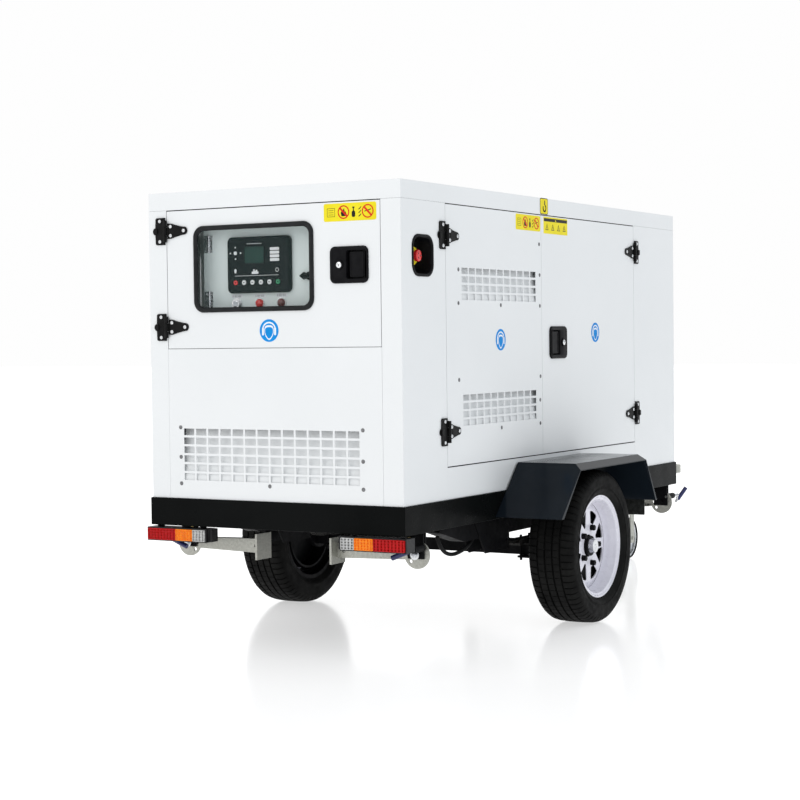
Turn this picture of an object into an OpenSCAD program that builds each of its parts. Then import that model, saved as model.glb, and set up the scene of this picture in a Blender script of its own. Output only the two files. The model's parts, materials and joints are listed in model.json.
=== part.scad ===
// Towable diesel generator: a silent canopy on a single-axle trailer.
// X runs forward to the tow eye, Y runs to the left, Z runs up, and the ground is z = 0.
// Stations are distances forward of the canopy's rear face.

/* [Canopy] */
// Length of the canopy
canopy_l = 2390; // [2380:1:2400]
// Width of the canopy
canopy_w = 1040; // [1036:1:1044]
// Height of the walls between the base frame and the roof band
wall_h = 1020; // [1016:1:1024]
// Depth of the band round the roof
roof_band = 63; // [55:1:70]
// Thickness of the canopy's sheet steel
sheet_t = 2; // [1.5:0.5:2.5]
// Width of a corner post on the end faces
post_w = 78; // [76:1:80]
// Thickness of a door with its folded edges
door_t = 28; // [24:1:30]
// Gap round a door
door_gap = 2; // [1.5:0.5:3]

/* [Side doors] */
// Station of the rear edge of the rear side door
side_door_s0 = 304; // [300:1:308]
// Station of the split between the two side doors
side_door_split = 1056; // [1050:1:1060]
// Station of the front edge of the front side door
side_door_s1 = 1942; // [1938:1:1946]
// Height of the sill below the side doors
sill_h = 110; // [106:1:110]

/* [Rear door] */
// Height of the rear door's lower edge above the deck
rear_door_z = 531; // [528:1:534]
// Width of the window in the rear door, outside its gasket
window_w = 500; // [480:5:510]
// Height of the window in the rear door, outside its gasket
window_h = 303; // [290:1:310]
// Width of the gasket round the window
gasket_w = 17; // [14:1:20]
// Depth of the control panel behind the rear face
panel_depth = 62; // [58:1:70]

/* [Grilles] */
// Width of the web between two slots
web_w = 8; // [6:1:9]
// Columns of slots in the rear grille
rear_cols = 14; // [12:1:15]
// Rows of slots in the rear grille
rear_rows = 6; // [5:1:7]
// Columns of slots in a side grille
side_cols = 11; // [10:1:12]
// Rows of slots in a side grille
side_rows = 4; // [3:1:5]

/* [Base frame and trailer] */
// Height of the deck, the top of the base frame, above the ground
deck_z = 525; // [523:1:527]
// Depth of the base frame
base_h = 98; // [96:1:100]
// How far the base frame stands out past the canopy
base_lip = 6; // [4:1:8]
// Thickness of the base frame's plate
base_t = 4; // [3:0.5:5]
// Distance of a chassis rail's centre from the middle
rail_y = 440; // [436:1:444]
// Depth of a chassis rail
rail_h = 70; // [68:1:72]
// Width of a chassis rail
rail_w = 60; // [56:1:62]
// Station of the tow eye's centre
eye_s = 3610; // [3600:10:3650]
// Bore of the tow eye
eye_bore = 60; // [50:1:76]

/* [Wheels and axle] */
// Station of the axle
axle_s = 1121; // [1118:1:1124]
// Outer diameter of a road tyre
tyre_d = 580; // [576:1:582]
// Width of a road tyre
tyre_w = 185; // [180:1:186]
// Distance of a road wheel's middle plane from the trailer's middle
wheel_y = 645; // [644:1:648]
// Diameter of a road wheel's rim over its flanges
rim_d = 390; // [386:1:392]
// Number of openings in a rim's disc
rim_windows = 8; // [6:1:10]
// Number of wheel nuts
nut_count = 5; // [4:1:6]
// Diameter of the circle of wheel nuts
nut_pcd = 140; // [130:1:140]

/* [Mudguards] */
// Height of a mudguard's top above the deck
guard_z = 97; // [95:1:99]
// Outer edge of a mudguard from the middle
guard_y = 790; // [786:1:794]
// Thickness of a mudguard
guard_t = 3; // [2:0.5:4]
// Width of the sloping fold along a mudguard's outer edge
guard_fold_y = 30; // [25:1:35]
// Drop of that fold
guard_fold_z = 22; // [18:1:26]

/* [Corner legs] */
// Distance of a leg's pivot from the middle
leg_y = 477; // [474:1:480]
// Distance of a rear leg in from the canopy's rear face
leg_inset_rear = 160; // [156:1:164]
// Distance of a front leg in from the canopy's front face
leg_inset_front = 52; // [50:1:56]
// Drop of a leg's pivot below the deck
leg_drop = 176; // [175:1:184]
// Length of a leg from its pivot to its foot
leg_l = 318; // [310:1:322]
// Radius of a leg's round head
leg_head_r = 49; // [46:1:50]

/* [Jockey wheel] */
// Station of the jockey wheel's tube
jockey_s = 3110; // [3100:5:3120]
// Radius of the jockey wheel
jockey_r = 100; // [98:1:102]
// Trail of the jockey wheel behind its tube
jockey_trail = 70; // [65:1:80]

/* [Hidden] */
$fn = 48;
half_w = canopy_w / 2;
base_z = deck_z - base_h;
roof_z = deck_z + wall_h;
top_z = roof_z + roof_band;
eye_r = 62;
eye_z = base_z - 26;
nose_s = eye_s - 160;
lock_offset = 24;
lock_r = 6;
rod_r = 5;
rod_l = 46;
rod_drop = 34;
grip_lean = 27;
grip_l = 66;
grip_r = 9;
grip_tilt = 32;
lens_face = -21;
mid_s = (eye_s + eye_r + lens_face) / 2;
rear_half = half_w - post_w - door_gap;
top_gap = 3;
foot_gap = 4;
grille_y = 14;
window_y = 72;
window_z = deck_z + 808;
panel_y = 82;
panel_z = deck_z + 806;
pin_r = 4;
knuckle_r = 7;
knuckle_h = 28;
hinge_out = 8;
run_gap = 0.05;
hinge_zs = [deck_z + 234, deck_z + 909];
rear_hinge_zs = [deck_z + 607, deck_z + 947];
rear_latch_y = -320;
rear_latch_z = deck_z + 806;
side_latch_s = 1194;
side_latch_z = deck_z + 536;
latch_w = 150;
latch_h = 124;
paddle_w = 54;
paddle_h = 84;
wheel_z = tyre_d / 2;
axle_half = 22;
axle_z = wheel_z - axle_half;
spring_half = 290;
spring_pin_z = axle_z + axle_half + 39;
leg_z = deck_z - leg_drop;
cup_s = 143;
cup_z = deck_z + 835;
shaft_z = deck_z + 330;
groove_w = 7;
drum_r = 148;
light_y0 = 277;
light_y1 = 536;
light_z0 = deck_z - 153.4;
light_z1 = deck_z - 105;
lamp_ys = [86, -5];
key_y = 183;
switch_z = deck_z + 686;
arm_s0 = 2022;
fork_z = 2 * jockey_r + 22;
hose_r = 7;
hose_y = -rail_y;
hose_sides = 10;
hose_pts = [[366, 388], [370, 378], [382, 359], [400, 341], [424, 326], [454, 317],
    [486, 314], [518, 316], [550, 321], [580, 329], [606, 339], [618, 347], [622.5, 353.5]];

// ---- helpers -------------------------------------------------------------

// A block between two stations, two sides and two heights
module blk(s0, s1, y0, y1, z0, z1) {
    translate([s0 - mid_s, y0, z0]) cube([s1 - s0, y1 - y0, z1 - z0]);
}

module at(s, y, z) {
    translate([s - mid_s, y, z]) children();
}

module both_sides() {
    children();
    mirror([0, 1, 0]) children();
}

// The right-hand piece for side = -1, its mirror image for side = 1
module on_side(side) {
    mirror([0, side > 0 ? 1 : 0, 0]) children();
}

module rounded(w, h, r) {
    offset(r) square([w - 2 * r, h - 2 * r], center = true);
}

// A flat outline in (Y, Z), thickened forward from a station
module rear_sheet(s, t) {
    translate([s - mid_s, 0, 0]) rotate([90, 0, 90]) linear_extrude(t) children();
}

// A flat outline in (station, Z), thickened to the left from a distance y
module side_sheet(y, t) {
    translate([-mid_s, y + t, 0]) rotate([90, 0, 0]) linear_extrude(t) children();
}

module slots(w, h, cols, rows) {
    pitch_w = w / cols;
    pitch_h = h / rows;
    for (c = [0 : cols - 1]) {
        for (r = [0 : rows - 1]) {
            translate([(c + 0.5) * pitch_w - w / 2, (r + 0.5) * pitch_h - h / 2])
                square([pitch_w - web_w, pitch_h - web_w], center = true);
        }
    }
}

// ---- base frame, chassis and drawbar ---------------------------------------

// Closed base: a welded box that also holds the fuel
module base_frame() {
    color("#1b1d1f") {
        difference() {
            blk(-base_lip, canopy_l + base_lip, -half_w - base_lip, half_w + base_lip,
                base_z, deck_z);
            blk(base_t - base_lip, canopy_l + base_lip - base_t, base_t - half_w - base_lip,
                half_w + base_lip - base_t, base_z + base_t, deck_z - base_t);
        }
    }
}

module rail(s0, s1) {
    y0 = -rail_y - rail_w / 2;
    difference() {
        side_sheet(y0, rail_w) polygon([[s0, base_z - 22], [s0, base_z], [s1, base_z],
            [s1, base_z - rail_h], [s0 + 180, base_z - rail_h]]);
        blk(s0 - 1, s1 + 1, y0 + 4, y0 + rail_w - 4, base_z - 18, base_z - 4);
    }
}

module spring_hanger(s0, s1) {
    y0 = -rail_y - rail_w / 2;
    for (y = [y0 - 6, y0 + rail_w]) {
        side_sheet(y, 6) polygon([[s0, base_z - 8], [s1, base_z - 8], [s1, base_z - 128],
            [s0 + (s1 - s0) * 0.3, base_z - 128]]);
    }
}

module chassis_rails() {
    color("#17191b") both_sides() {
        rail(330, 2010);
        spring_hanger(axle_s - spring_half - 250, axle_s - spring_half + 22);
        spring_hanger(axle_s + spring_half + 90, axle_s + spring_half - 30);
        for (s = [axle_s - spring_half, axle_s + spring_half]) {
            at(s, -rail_y, spring_pin_z)
                rotate([90, 0, 0]) cylinder(h = rail_w + 24, r = 8, center = true);
        }
    }
    color("#17191b") for (s = [700, 1560, 1960]) {
        blk(s, s + 40, -rail_y + rail_w / 2, rail_y - rail_w / 2, base_z - 50, base_z - 1);
    }
}

// One arm of the drawbar, from the rail's end to the tow eye's block
module drawbar_arm() {
    run = nose_s - arm_s0;
    drift = rail_y - 34;
    angle = atan(drift / run);
    reach = norm([run, drift]);
    at(arm_s0, -rail_y, base_z - 51) rotate([0, 0, angle]) difference() {
        translate([0, -25, 0]) cube([reach, 50, 50]);
        translate([-1, -21, 4]) cube([reach + 2, 42, 42]);
    }
}

module drawbar() {
    color("#17191b") {
        both_sides() drawbar_arm();
        difference() {
            blk(nose_s + 0.4, nose_s + 12, -75, 75, base_z - 66, base_z + 14);
            nose_bolts() cylinder(h = 60, r = 7, center = true);
        }
        both_sides() blk(jockey_s - 60, jockey_s + 60, 44, 118, base_z, base_z + 8);
        both_sides() blk(2500, 2540, 0.1, 262, base_z - 46, base_z - 6);
    }
}

module nose_bolts() {
    for (y = [-58, 58]) {
        for (z = [-24, 24]) {
            at(nose_s + 12, y, eye_z + z) rotate([0, 90, 0]) children();
        }
    }
}

// Towing ring on a bolted flange
module tow_eye() {
    neck = eye_s - nose_s - 12.4;
    color("#9a9d9f") {
        difference() {
            at(eye_s, 0, eye_z) union() {
                cylinder(h = 40, r = eye_r, center = true);
                translate([-neck, 0, 0]) rotate([0, 90, 0]) cylinder(h = neck - 50, r = 22);
                translate([-neck, -75, -38]) cube([12, 150, 76]);
            }
            at(eye_s, 0, eye_z) cylinder(h = 60, r = eye_bore / 2, center = true);
            nose_bolts() cylinder(h = 60, r = 7, center = true);
        }
        nose_bolts() translate([0, 0, 13]) cylinder(h = 10, r = 11, $fn = 6);
    }
}

// ---- axle, springs, wheels -------------------------------------------------

module axle_beam() {
    color("#1d1f20") {
        blk(axle_s - axle_half, axle_s + axle_half, -540, 540, axle_z - axle_half,
            axle_z + axle_half);
        both_sides() {
            at(axle_s, -540, wheel_z) rotate([90, 0, 0]) cylinder(h = 138, r = 17);
            at(axle_s, -532, wheel_z) rotate([90, 0, 0]) cylinder(h = 18, r = 60);
            blk(axle_s - 55, axle_s + 55, -rail_y - 38, -rail_y + 38,
                axle_z - axle_half - 9, axle_z - axle_half - 1);
            for (s = [-36, 36]) {
                for (y = [-32, 32]) {
                    at(axle_s + s, -rail_y + y, axle_z - 42) cylinder(h = 98, r = 5);
                }
            }
        }
    }
}

// A stack of leaves, each shorter than the one above it
module leaf_springs() {
    seat_z = axle_z + axle_half + 1;
    leaf_t = 7;
    color("#202224") both_sides() {
        for (i = [0 : 3]) {
            half = spring_half - 70 * (3 - i);
            blk(axle_s - half, axle_s + half, -rail_y - 25, -rail_y + 25,
                seat_z + i * leaf_t, seat_z + (i + 1) * leaf_t - 0.4);
        }
    }
}

module tyre(side) {
    on_side(side) color("#191919") at(axle_s, -wheel_y, wheel_z) rotate([90, 0, 0])
        rotate_extrude($fn = 96) difference() {
            translate([tyre_d / 2 - 59, 0]) rounded(118, tyre_w, 34);
            translate([tyre_d / 2 - 74, 0]) rounded(122, tyre_w - 24, 26);
            translate([tyre_d / 2 - 115, 0]) square([24, tyre_w - 24], center = true);
            for (w = [-45, -15, 15, 45]) {
                translate([tyre_d / 2, w]) square([14, groove_w], center = true);
            }
        }
}

module rim_disc() {
    difference() {
        rotate_extrude($fn = 96) polygon([[42, 24], [134, 24], [148, 18], [156, 12], [167.5, 12],
            [167.5, 18], [159, 18], [151, 24], [137, 30], [42, 30]]);
        for (i = [0 : rim_windows - 1]) {
            rotate([0, 0, (i + 0.5) * 360 / rim_windows]) translate([0, 0, 5])
                linear_extrude(60) polygon([[86, -4], [86, 4], [124, 26], [130, 20],
                    [130, -20], [124, -26]]);
        }
        for (i = [0 : nut_count - 1]) {
            rotate([0, 0, i * 360 / nut_count]) translate([nut_pcd / 2, 0, 20])
                cylinder(h = 20, r = 8);
        }
    }
}

module rim_barrel() {
    w = 76;
    r = rim_d / 2;
    rotate_extrude($fn = 96) polygon([[r, -w], [r, -w + 4], [r - 16, -w + 5], [r - 18, -w + 24],
        [r - 27, -w + 34], [r - 27, w - 60], [r - 18, w - 40], [r - 16, w - 5], [r, w - 4],
        [r, w], [r - 20, w], [r - 22, w - 38], [r - 31, w - 58], [r - 31, -w + 36],
        [r - 22, -w + 26], [r - 20, -w]]);
}

module hub() {
    difference() {
        union() {
            translate([0, 0, -62]) cylinder(h = 70, r = drum_r);
            translate([0, 0, 8]) cylinder(h = 15.5, r = 84);
            cylinder(h = 42, r = 38);
        }
        translate([0, 0, -63]) cylinder(h = 62, r = drum_r - 9);
        translate([0, 0, -70]) cylinder(h = 104, r = 17 + run_gap);
    }
    translate([0, 0, 42.2]) cylinder(h = 18, r1 = 29, r2 = 25);
}

module rim(side) {
    on_side(side) at(axle_s, -wheel_y, wheel_z) rotate([90, 0, 0]) {
        color("#e9eaec") {
            rim_disc();
            rim_barrel();
        }
        color("#2a2c2e") hub();
        color("#a7aaad") for (i = [0 : nut_count - 1]) {
            rotate([0, 0, i * 360 / nut_count]) translate([nut_pcd / 2, 0, 30.2])
                cylinder(h = 18, r = 11, $fn = 6);
        }
    }
}

// The space under a mudguard's outer skin, pulled in by d all over
module guard_solid(d) {
    foot_z = deck_z - 90;
    top = deck_z + guard_z - d;
    inner = -half_w - base_lip - 0.7 - d;
    reach = d > 0 ? 20 : 0;
    fall = (guard_fold_z / guard_fold_y) * reach;
    intersection() {
        side_sheet(-guard_y - 30, guard_y + 30 + inner)
            polygon([[642 + 1.4 * d, foot_z - reach], [828 + 0.4 * d, top], [1405 - 0.3 * d, top],
                [1525 - 1.2 * d, foot_z - reach]]);
        rear_sheet(500, 1200) polygon([[inner, foot_z - reach], [inner, top],
            [guard_fold_y - guard_y, top], [-guard_y - reach, top - guard_fold_z - fall],
            [-guard_y - reach, foot_z - reach]]);
    }
}

module mudguards() {
    color("#22262b") both_sides() difference() {
        guard_solid(0);
        guard_solid(guard_t);
    }
}

module mudflaps() {
    color("#17181a") both_sides()
        blk(1519, 1525, -735, -545, deck_z - 152, deck_z - 91);
}

// ---- legs --------------------------------------------------------------------

// Places a right-hand, rear-facing piece at one of the four corners
module corner(side, end) {
    s = end < 0 ? leg_inset_rear : canopy_l - leg_inset_front;
    on_side(side) at(s, -leg_y, leg_z) mirror([end > 0 ? 1 : 0, 0, 0]) children();
}

module leg_shape() {
    foot_h = 92;
    difference() {
        union() {
            translate([-4, 0, 0]) rotate([0, 90, 0]) cylinder(h = 6, r = leg_head_r);
            translate([-4, 0, 0]) rotate([90, 0, 90]) linear_extrude(6)
                polygon([[20, 18], [leg_l, 26], [leg_l, -26], [20, -18]]);
            translate([-4, 0, 0]) rotate([90, 0, 90]) linear_extrude(34)
                polygon([[50, 19], [leg_l, 26], [leg_l, 22], [50, 15]]);
            translate([-4, 0, 0]) rotate([90, 0, 90]) linear_extrude(34)
                polygon([[50, -19], [leg_l, -26], [leg_l, -22], [50, -15]]);
            translate([-44, leg_l - 1, -foot_h / 2]) cube([90, 8, foot_h]);
        }
        translate([-10, 0, 0]) rotate([0, 90, 0]) cylinder(h = 30, r = 10 + run_gap);
        for (i = [0 : 4]) {
            rotate([-135 + 45 * i, 0, 0]) translate([-10, 0, lock_offset * sqrt(2)])
                rotate([0, 90, 0]) cylinder(h = 30, r = lock_r + 0.5);
        }
        translate([-10, leg_l - 26, 0]) rotate([0, 90, 0]) cylinder(h = 30, r = 7);
    }
}

module leg(side, end) {
    color("#b7bab2") corner(side, end) leg_shape();
}

module leg_brackets() {
    color("#141618") for (side = [-1, 1]) {
        for (end = [-1, 1]) {
            corner(side, end) {
                difference() {
                    union() {
                        translate([-11, -30, -14]) cube([6, 62, leg_drop - base_h + 14]);
                        translate([3, -30, -14]) cube([6, 62, leg_drop - base_h + 14]);
                    }
                    translate([-20, -lock_offset, lock_offset]) rotate([0, 90, 0])
                        cylinder(h = 40, r = lock_r + run_gap);
                }
                difference() {
                    translate([-73, -lock_offset, lock_offset]) rotate([0, 90, 0])
                        cylinder(h = 63, r = 13);
                    translate([-75, -lock_offset, lock_offset]) rotate([0, 90, 0])
                        cylinder(h = 80, r = lock_r + run_gap);
                }
                translate([-15, 0, 0]) rotate([0, 90, 0]) cylinder(h = 30, r = 10);
                translate([-19, 0, 0]) rotate([0, 90, 0]) cylinder(h = 4, r = 15, $fn = 6);
            }
        }
    }
}

// Grip on the end of a locking pin's rod, along +Z
module pin_grip() {
    color("#c9ccce") {
        sphere(r = rod_r, $fn = 24);
        cylinder(h = 12, r = rod_r);
    }
    color("#1c2350") translate([0, 0, 12.3]) cylinder(h = grip_l, r = grip_r);
}

// Spring-loaded pin. A front pin has a cranked rod and an upright grip; a rear pin
// is shorter, and its grip lies sideways behind the tail light.
module lock_pin(side, end) {
    rod_end = end < 0 ? -86 : -132;
    corner(side, end) translate([0, -lock_offset, lock_offset]) {
        color("#c9ccce") {
            translate([-84, 0, 0]) rotate([0, 90, 0]) cylinder(h = 78.5, r = lock_r);
            translate([rod_end, 0, 0]) rotate([0, 90, 0]) cylinder(h = -82 - rod_end, r = rod_r);
        }
        if (end < 0) {
            translate([rod_end, 0, 0]) rotate([-112, 0, 0]) pin_grip();
        } else {
            translate([rod_end, 0, 0]) rotate([grip_lean, 0, 0]) {
                color("#c9ccce") {
                    sphere(r = rod_r, $fn = 24);
                    rotate([0, 180 + rod_drop, 0]) cylinder(h = rod_l, r = rod_r);
                }
                translate([-rod_l * sin(rod_drop), 0, -rod_l * cos(rod_drop)])
                    rotate([0, -grip_tilt, 0]) pin_grip();
            }
        }
    }
}

// ---- tail lights ----------------------------------------------------------------

module tail_light_housings() {
    color("#121314") both_sides() difference() {
        union() {
            blk(-16, 42, -light_y1, -light_y0, light_z0, light_z1);
            blk(-2, 36, -light_y0 - 4, -light_y0 + 14, light_z0 + 2, light_z1);
            blk(0, 36, -light_y0 - 40, -light_y0 - 34, light_z1 - 1, base_z - 0.5);
            blk(0, 36, -light_y1 + 34, -light_y1 + 40, light_z1 - 1, base_z - 0.5);
        }
        blk(-17, -10, -light_y1 + 4, -light_y0 - 4, light_z0 + 4, light_z1 - 4);
    }
}

module tail_light_lenses() {
    cuts = [light_y0 + 4.5, light_y0 + 58, light_y0 + 132, light_y1 - 4.5];
    tints = ["#f2f2f2", "#f08a18", "#d3202a"];
    both_sides() for (i = [0 : 2]) {
        color(tints[i]) blk(lens_face, -10.2, -cuts[i + 1] + 0.3, -cuts[i], light_z0 + 4.5,
            light_z1 - 4.5);
    }
}

// ---- canopy ---------------------------------------------------------------------

module post_plan(flange) {
    difference() {
        square([flange, post_w]);
        translate([sheet_t, sheet_t]) square([flange, post_w]);
    }
}

module rear_post_right() {
    color("#f3f4f5") difference() {
        at(0, -half_w, deck_z) linear_extrude(wall_h) post_plan(side_door_s0 - door_gap);
        side_sheet(-half_w - 1, 10) translate([cup_s, cup_z]) rounded(130, 126, 18);
    }
}

module canopy_frame() {
    rear_flange = side_door_s0 - door_gap;
    front_flange = canopy_l - side_door_s1 - door_gap;
    color("#f3f4f5") {
        at(0, half_w, deck_z) mirror([0, 1, 0]) linear_extrude(wall_h) post_plan(rear_flange);
        both_sides() at(canopy_l, -half_w, deck_z) mirror([1, 0, 0])
            linear_extrude(wall_h) post_plan(front_flange);
        both_sides() {
            blk(rear_flange + 0.2, side_door_s1 + door_gap - 0.2, -half_w, -half_w + sheet_t,
                deck_z, deck_z + sill_h);
            blk(rear_flange + 0.2, side_door_s1 + door_gap - 0.2, -half_w + sheet_t,
                -half_w + 40, deck_z + sill_h - sheet_t, deck_z + sill_h);
        }
    }
}

module roof() {
    color("#f6f7f8") difference() {
        blk(0, canopy_l, -half_w, half_w, roof_z + 0.4, top_z);
        blk(sheet_t, canopy_l - sheet_t, sheet_t - half_w, half_w - sheet_t, roof_z - 1,
            top_z - sheet_t);
    }
}

module lifting_eye() {
    color("#2b2d30") at(1090, 0, top_z) {
        translate([-70, -70, 0.3]) cube([140, 140, 8]);
        difference() {
            union() {
                translate([-38, -8, 8]) cube([76, 16, 32]);
                translate([0, 8, 40]) rotate([90, 0, 0]) cylinder(h = 16, r = 38);
            }
            translate([0, 20, 40]) rotate([90, 0, 0]) cylinder(h = 40, r = 20);
        }
    }
}

module rear_lower_panel() {
    w = half_w - post_w - 0.5;
    color("#f2f3f4") {
        rear_sheet(0, sheet_t) difference() {
            translate([-w, deck_z + 0.3]) square([2 * w, rear_door_z - door_gap]);
            translate([grille_y, deck_z + 157]) slots(736, 190, rear_cols, rear_rows);
        }
        side_sheet(grille_y - 380, 760) polygon([[2.6, deck_z + 50], [4.6, deck_z + 50],
            [38, deck_z + 268], [36, deck_z + 268]]);
    }
}

module front_panel() {
    w = half_w - post_w - 0.5;
    color("#eef0f1") rear_sheet(canopy_l - sheet_t, sheet_t) difference() {
        translate([-w, deck_z + 0.3]) square([2 * w, wall_h - 0.6]);
        translate([0, deck_z + 560]) slots(700, 620, 14, 18);
    }
}

// ---- doors ------------------------------------------------------------------------

// Folded edges behind a door's skin; the outline is the 2D child
module folded_edge() {
    difference() {
        children();
        offset(delta = -sheet_t) children();
    }
}

module rear_door_outline() {
    translate([-rear_half, deck_z + rear_door_z])
        square([2 * rear_half, wall_h - rear_door_z - top_gap]);
}

module rear_door() {
    color("#f5f6f7") {
        rear_sheet(0, sheet_t) difference() {
            rear_door_outline();
            translate([window_y, window_z]) rounded(window_w - gasket_w, window_h - gasket_w, 32);
            translate([rear_latch_y, rear_latch_z]) rounded(latch_w - 16, latch_h - 16, 14);
        }
        rear_sheet(sheet_t, door_t - sheet_t) folded_edge() rear_door_outline();
    }
    color("#1a1b1c") for (z = rear_hinge_zs) {
        at(-0.2, half_w - post_w, z) rotate([0, 0, 90]) mirror([1, 0, 0]) strap();
    }
}

// Strap of a hinge: X along the strap, -Y out of the door; the pin stands at x = 0
module strap() {
    translate([0, 4, 0]) rotate([90, 0, 0]) linear_extrude(4) hull() {
        translate([10, 0]) square([8, 54], center = true);
        translate([79, 0]) circle(r = 14, $fn = 32);
    }
    difference() {
        union() {
            translate([0, hinge_out, -knuckle_h / 2]) cylinder(h = knuckle_h, r = knuckle_r);
            translate([2, 0, -knuckle_h / 2]) cube([12, 8, knuckle_h]);
        }
        translate([0, hinge_out, -knuckle_h]) cylinder(h = 2 * knuckle_h, r = pin_r + run_gap);
    }
}

// Fixed plate of a hinge, its two knuckles and its pin
module hinge_base() {
    difference() {
        translate([-46, 0, -48]) cube([44, 4, 96]);
        translate([-9, -1, -knuckle_h / 2 - 0.5]) cube([8, 6, knuckle_h + 1]);
    }
    for (z = [-knuckle_h / 2 - 24, knuckle_h / 2 + 0.5]) {
        difference() {
            union() {
                translate([0, hinge_out, z]) cylinder(h = 23.5, r = knuckle_r);
                translate([-12, 0, z]) cube([10, 8, 23.5]);
            }
            translate([0, hinge_out, z - 1]) cylinder(h = 26, r = pin_r - 0.5);
        }
    }
    translate([0, hinge_out, -38]) cylinder(h = 76, r = pin_r);
}

// Turns a hinge piece so that its +Y side faces out of the right-hand wall
module on_right_wall(s, z, forward) {
    at(s, -half_w - 0.2, z) rotate([0, 0, 180]) mirror([forward > 0 ? 1 : 0, 0, 0]) children();
}

module hinge_bases() {
    color("#1a1b1c") {
        for (z = hinge_zs) {
            both_sides() on_right_wall(side_door_s0 - door_gap / 2, z, 1) hinge_base();
            both_sides() on_right_wall(side_door_s1 + door_gap / 2, z, -1) hinge_base();
        }
        for (z = rear_hinge_zs) {
            at(-0.2, half_w - post_w, z) rotate([0, 0, 90]) mirror([1, 0, 0]) hinge_base();
        }
    }
}

module side_outline(s0, s1) {
    translate([s0, deck_z + sill_h + foot_gap])
        square([s1 - s0, wall_h - sill_h - foot_gap - top_gap]);
}

// A sloping sheet behind a side grille, nearest the skin at its foot; drawn in (Y, Z)
module rain_baffle(z) {
    y = sheet_t - half_w;
    polygon([[y + 0.6, z - 72], [y + 2.6, z - 72], [y + 24, z + 76], [y + 22, z + 76]]);
}

module side_door_rear(side) {
    s1 = side_door_split - door_gap / 2;
    mid = 712;
    on_side(side) {
        color("#f5f6f7") {
            side_sheet(-half_w, sheet_t) difference() {
                side_outline(side_door_s0, s1);
                translate([mid, deck_z + 746]) slots(596, 120, side_cols, side_rows);
                translate([mid, deck_z + 304]) slots(590, 116, side_cols, side_rows);
            }
            side_sheet(sheet_t - half_w, door_t - sheet_t) folded_edge()
                side_outline(side_door_s0, s1);
            for (z = [deck_z + 304, deck_z + 746]) {
                rear_sheet(mid - 320, 640) rain_baffle(z);
            }
        }
        color("#1a1b1c") for (z = hinge_zs) {
            on_right_wall(side_door_s0 - door_gap / 2, z, 1) strap();
        }
    }
}

module side_door_front(side) {
    s0 = side_door_split + door_gap / 2;
    on_side(side) {
        color("#f5f6f7") {
            side_sheet(-half_w, sheet_t) difference() {
                side_outline(s0, side_door_s1);
                translate([side_latch_s, side_latch_z]) rounded(latch_w - 16, latch_h - 16, 14);
            }
            side_sheet(sheet_t - half_w, door_t - sheet_t) folded_edge()
                side_outline(s0, side_door_s1);
        }
        color("#1a1b1c") for (z = hinge_zs) {
            on_right_wall(side_door_s1 + door_gap / 2, z, -1) strap();
        }
    }
}

// Latch in its own frame: outline in (X, Z), +Y inwards, the paddle on the -X side
module latch_case() {
    wall = 3;
    difference() {
        union() {
            rotate([90, 0, 0]) linear_extrude(7) rounded(latch_w, latch_h, 20);
            translate([0, 24, 0]) rotate([90, 0, 0])
                linear_extrude(24.2) rounded(latch_w - 18, latch_h - 18, 13);
        }
        translate([-30, 24 - wall, 0]) rotate([90, 0, 0])
            linear_extrude(40) rounded(76, 92, 6);
    }
    translate([36, -7.2, 0]) rotate([90, 0, 0]) cylinder(h = 5, r = 15);
}

module latch_paddle() {
    translate([-31, 0, 0]) rotate([90, 0, 0]) linear_extrude(4) rounded(paddle_w, paddle_h, 5);
    difference() {
        translate([-8, 3, -paddle_h / 2 + 4]) cylinder(h = paddle_h - 8, r = 5);
        translate([-8, 3, -paddle_h / 2]) cylinder(h = paddle_h, r = 2);
    }
}

module rear_latch_place() {
    at(-0.2, rear_latch_y, rear_latch_z) rotate([0, 0, -90]) mirror([1, 0, 0]) children();
}

module side_latch_place(side) {
    on_side(side) at(side_latch_s, -half_w - 0.2, side_latch_z) children();
}

module rear_latch() {
    color("#17181a") rear_latch_place() latch_case();
}

module side_latch(side) {
    color("#17181a") side_latch_place(side) latch_case();
}

module rear_paddle() {
    color("#222426") rear_latch_place() latch_paddle();
}

module side_paddle(side) {
    color("#222426") side_latch_place(side) latch_paddle();
}

module gasket_outline(inset, r) {
    translate([window_y, window_z]) difference() {
        rounded(window_w - inset, window_h - inset, r);
        rounded(window_w - 2 * gasket_w, window_h - 2 * gasket_w, 26);
    }
}

module door_window() {
    color("#141414") {
        rear_sheet(-8, 7.7) gasket_outline(0, 40);
        rear_sheet(-8, 14) gasket_outline(gasket_w + 1, 32);
    }
    color([0.8, 0.87, 0.9, 0.3]) rear_sheet(-2, 4) translate([window_y, window_z])
        rounded(window_w - 2 * gasket_w - 0.6, window_h - 2 * gasket_w - 0.6, 26);
}

// ---- controls ------------------------------------------------------------------------

module control_box() {
    color("#eceeef") difference() {
        blk(panel_depth + 4, 262, panel_y - 245, panel_y + 245, panel_z - 175, panel_z + 175);
        blk(panel_depth, 260, panel_y - 243, panel_y + 243, panel_z - 173, panel_z + 173);
    }
}

module control_panel() {
    color("#f4f5f6") rear_sheet(panel_depth, 3) difference() {
        translate([panel_y, panel_z]) square([486, 346], center = true);
        translate([key_y, switch_z]) circle(r = 11.2);
    }
    color("#b3202a") for (y = lamp_ys) {
        at(panel_depth - 0.2, y, switch_z) rotate([0, -90, 0]) cylinder(h = 12, r1 = 17, r2 = 11);
    }
    color("#c8cacc") for (z = [-105, 92]) {
        at(panel_depth - 6, panel_y + 222, panel_z + z) cylinder(h = 46, r = 5, center = true);
    }
    color("#1b1c1e") at(panel_depth - 0.2, -120, deck_z + 776) rotate([0, -90, 0])
        cylinder(h = 12, r = 14);
}

module controller() {
    color("#151718") rear_sheet(panel_depth - 20, 19.8) translate([81, deck_z + 820])
        rounded(262, 196, 18);
}

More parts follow.
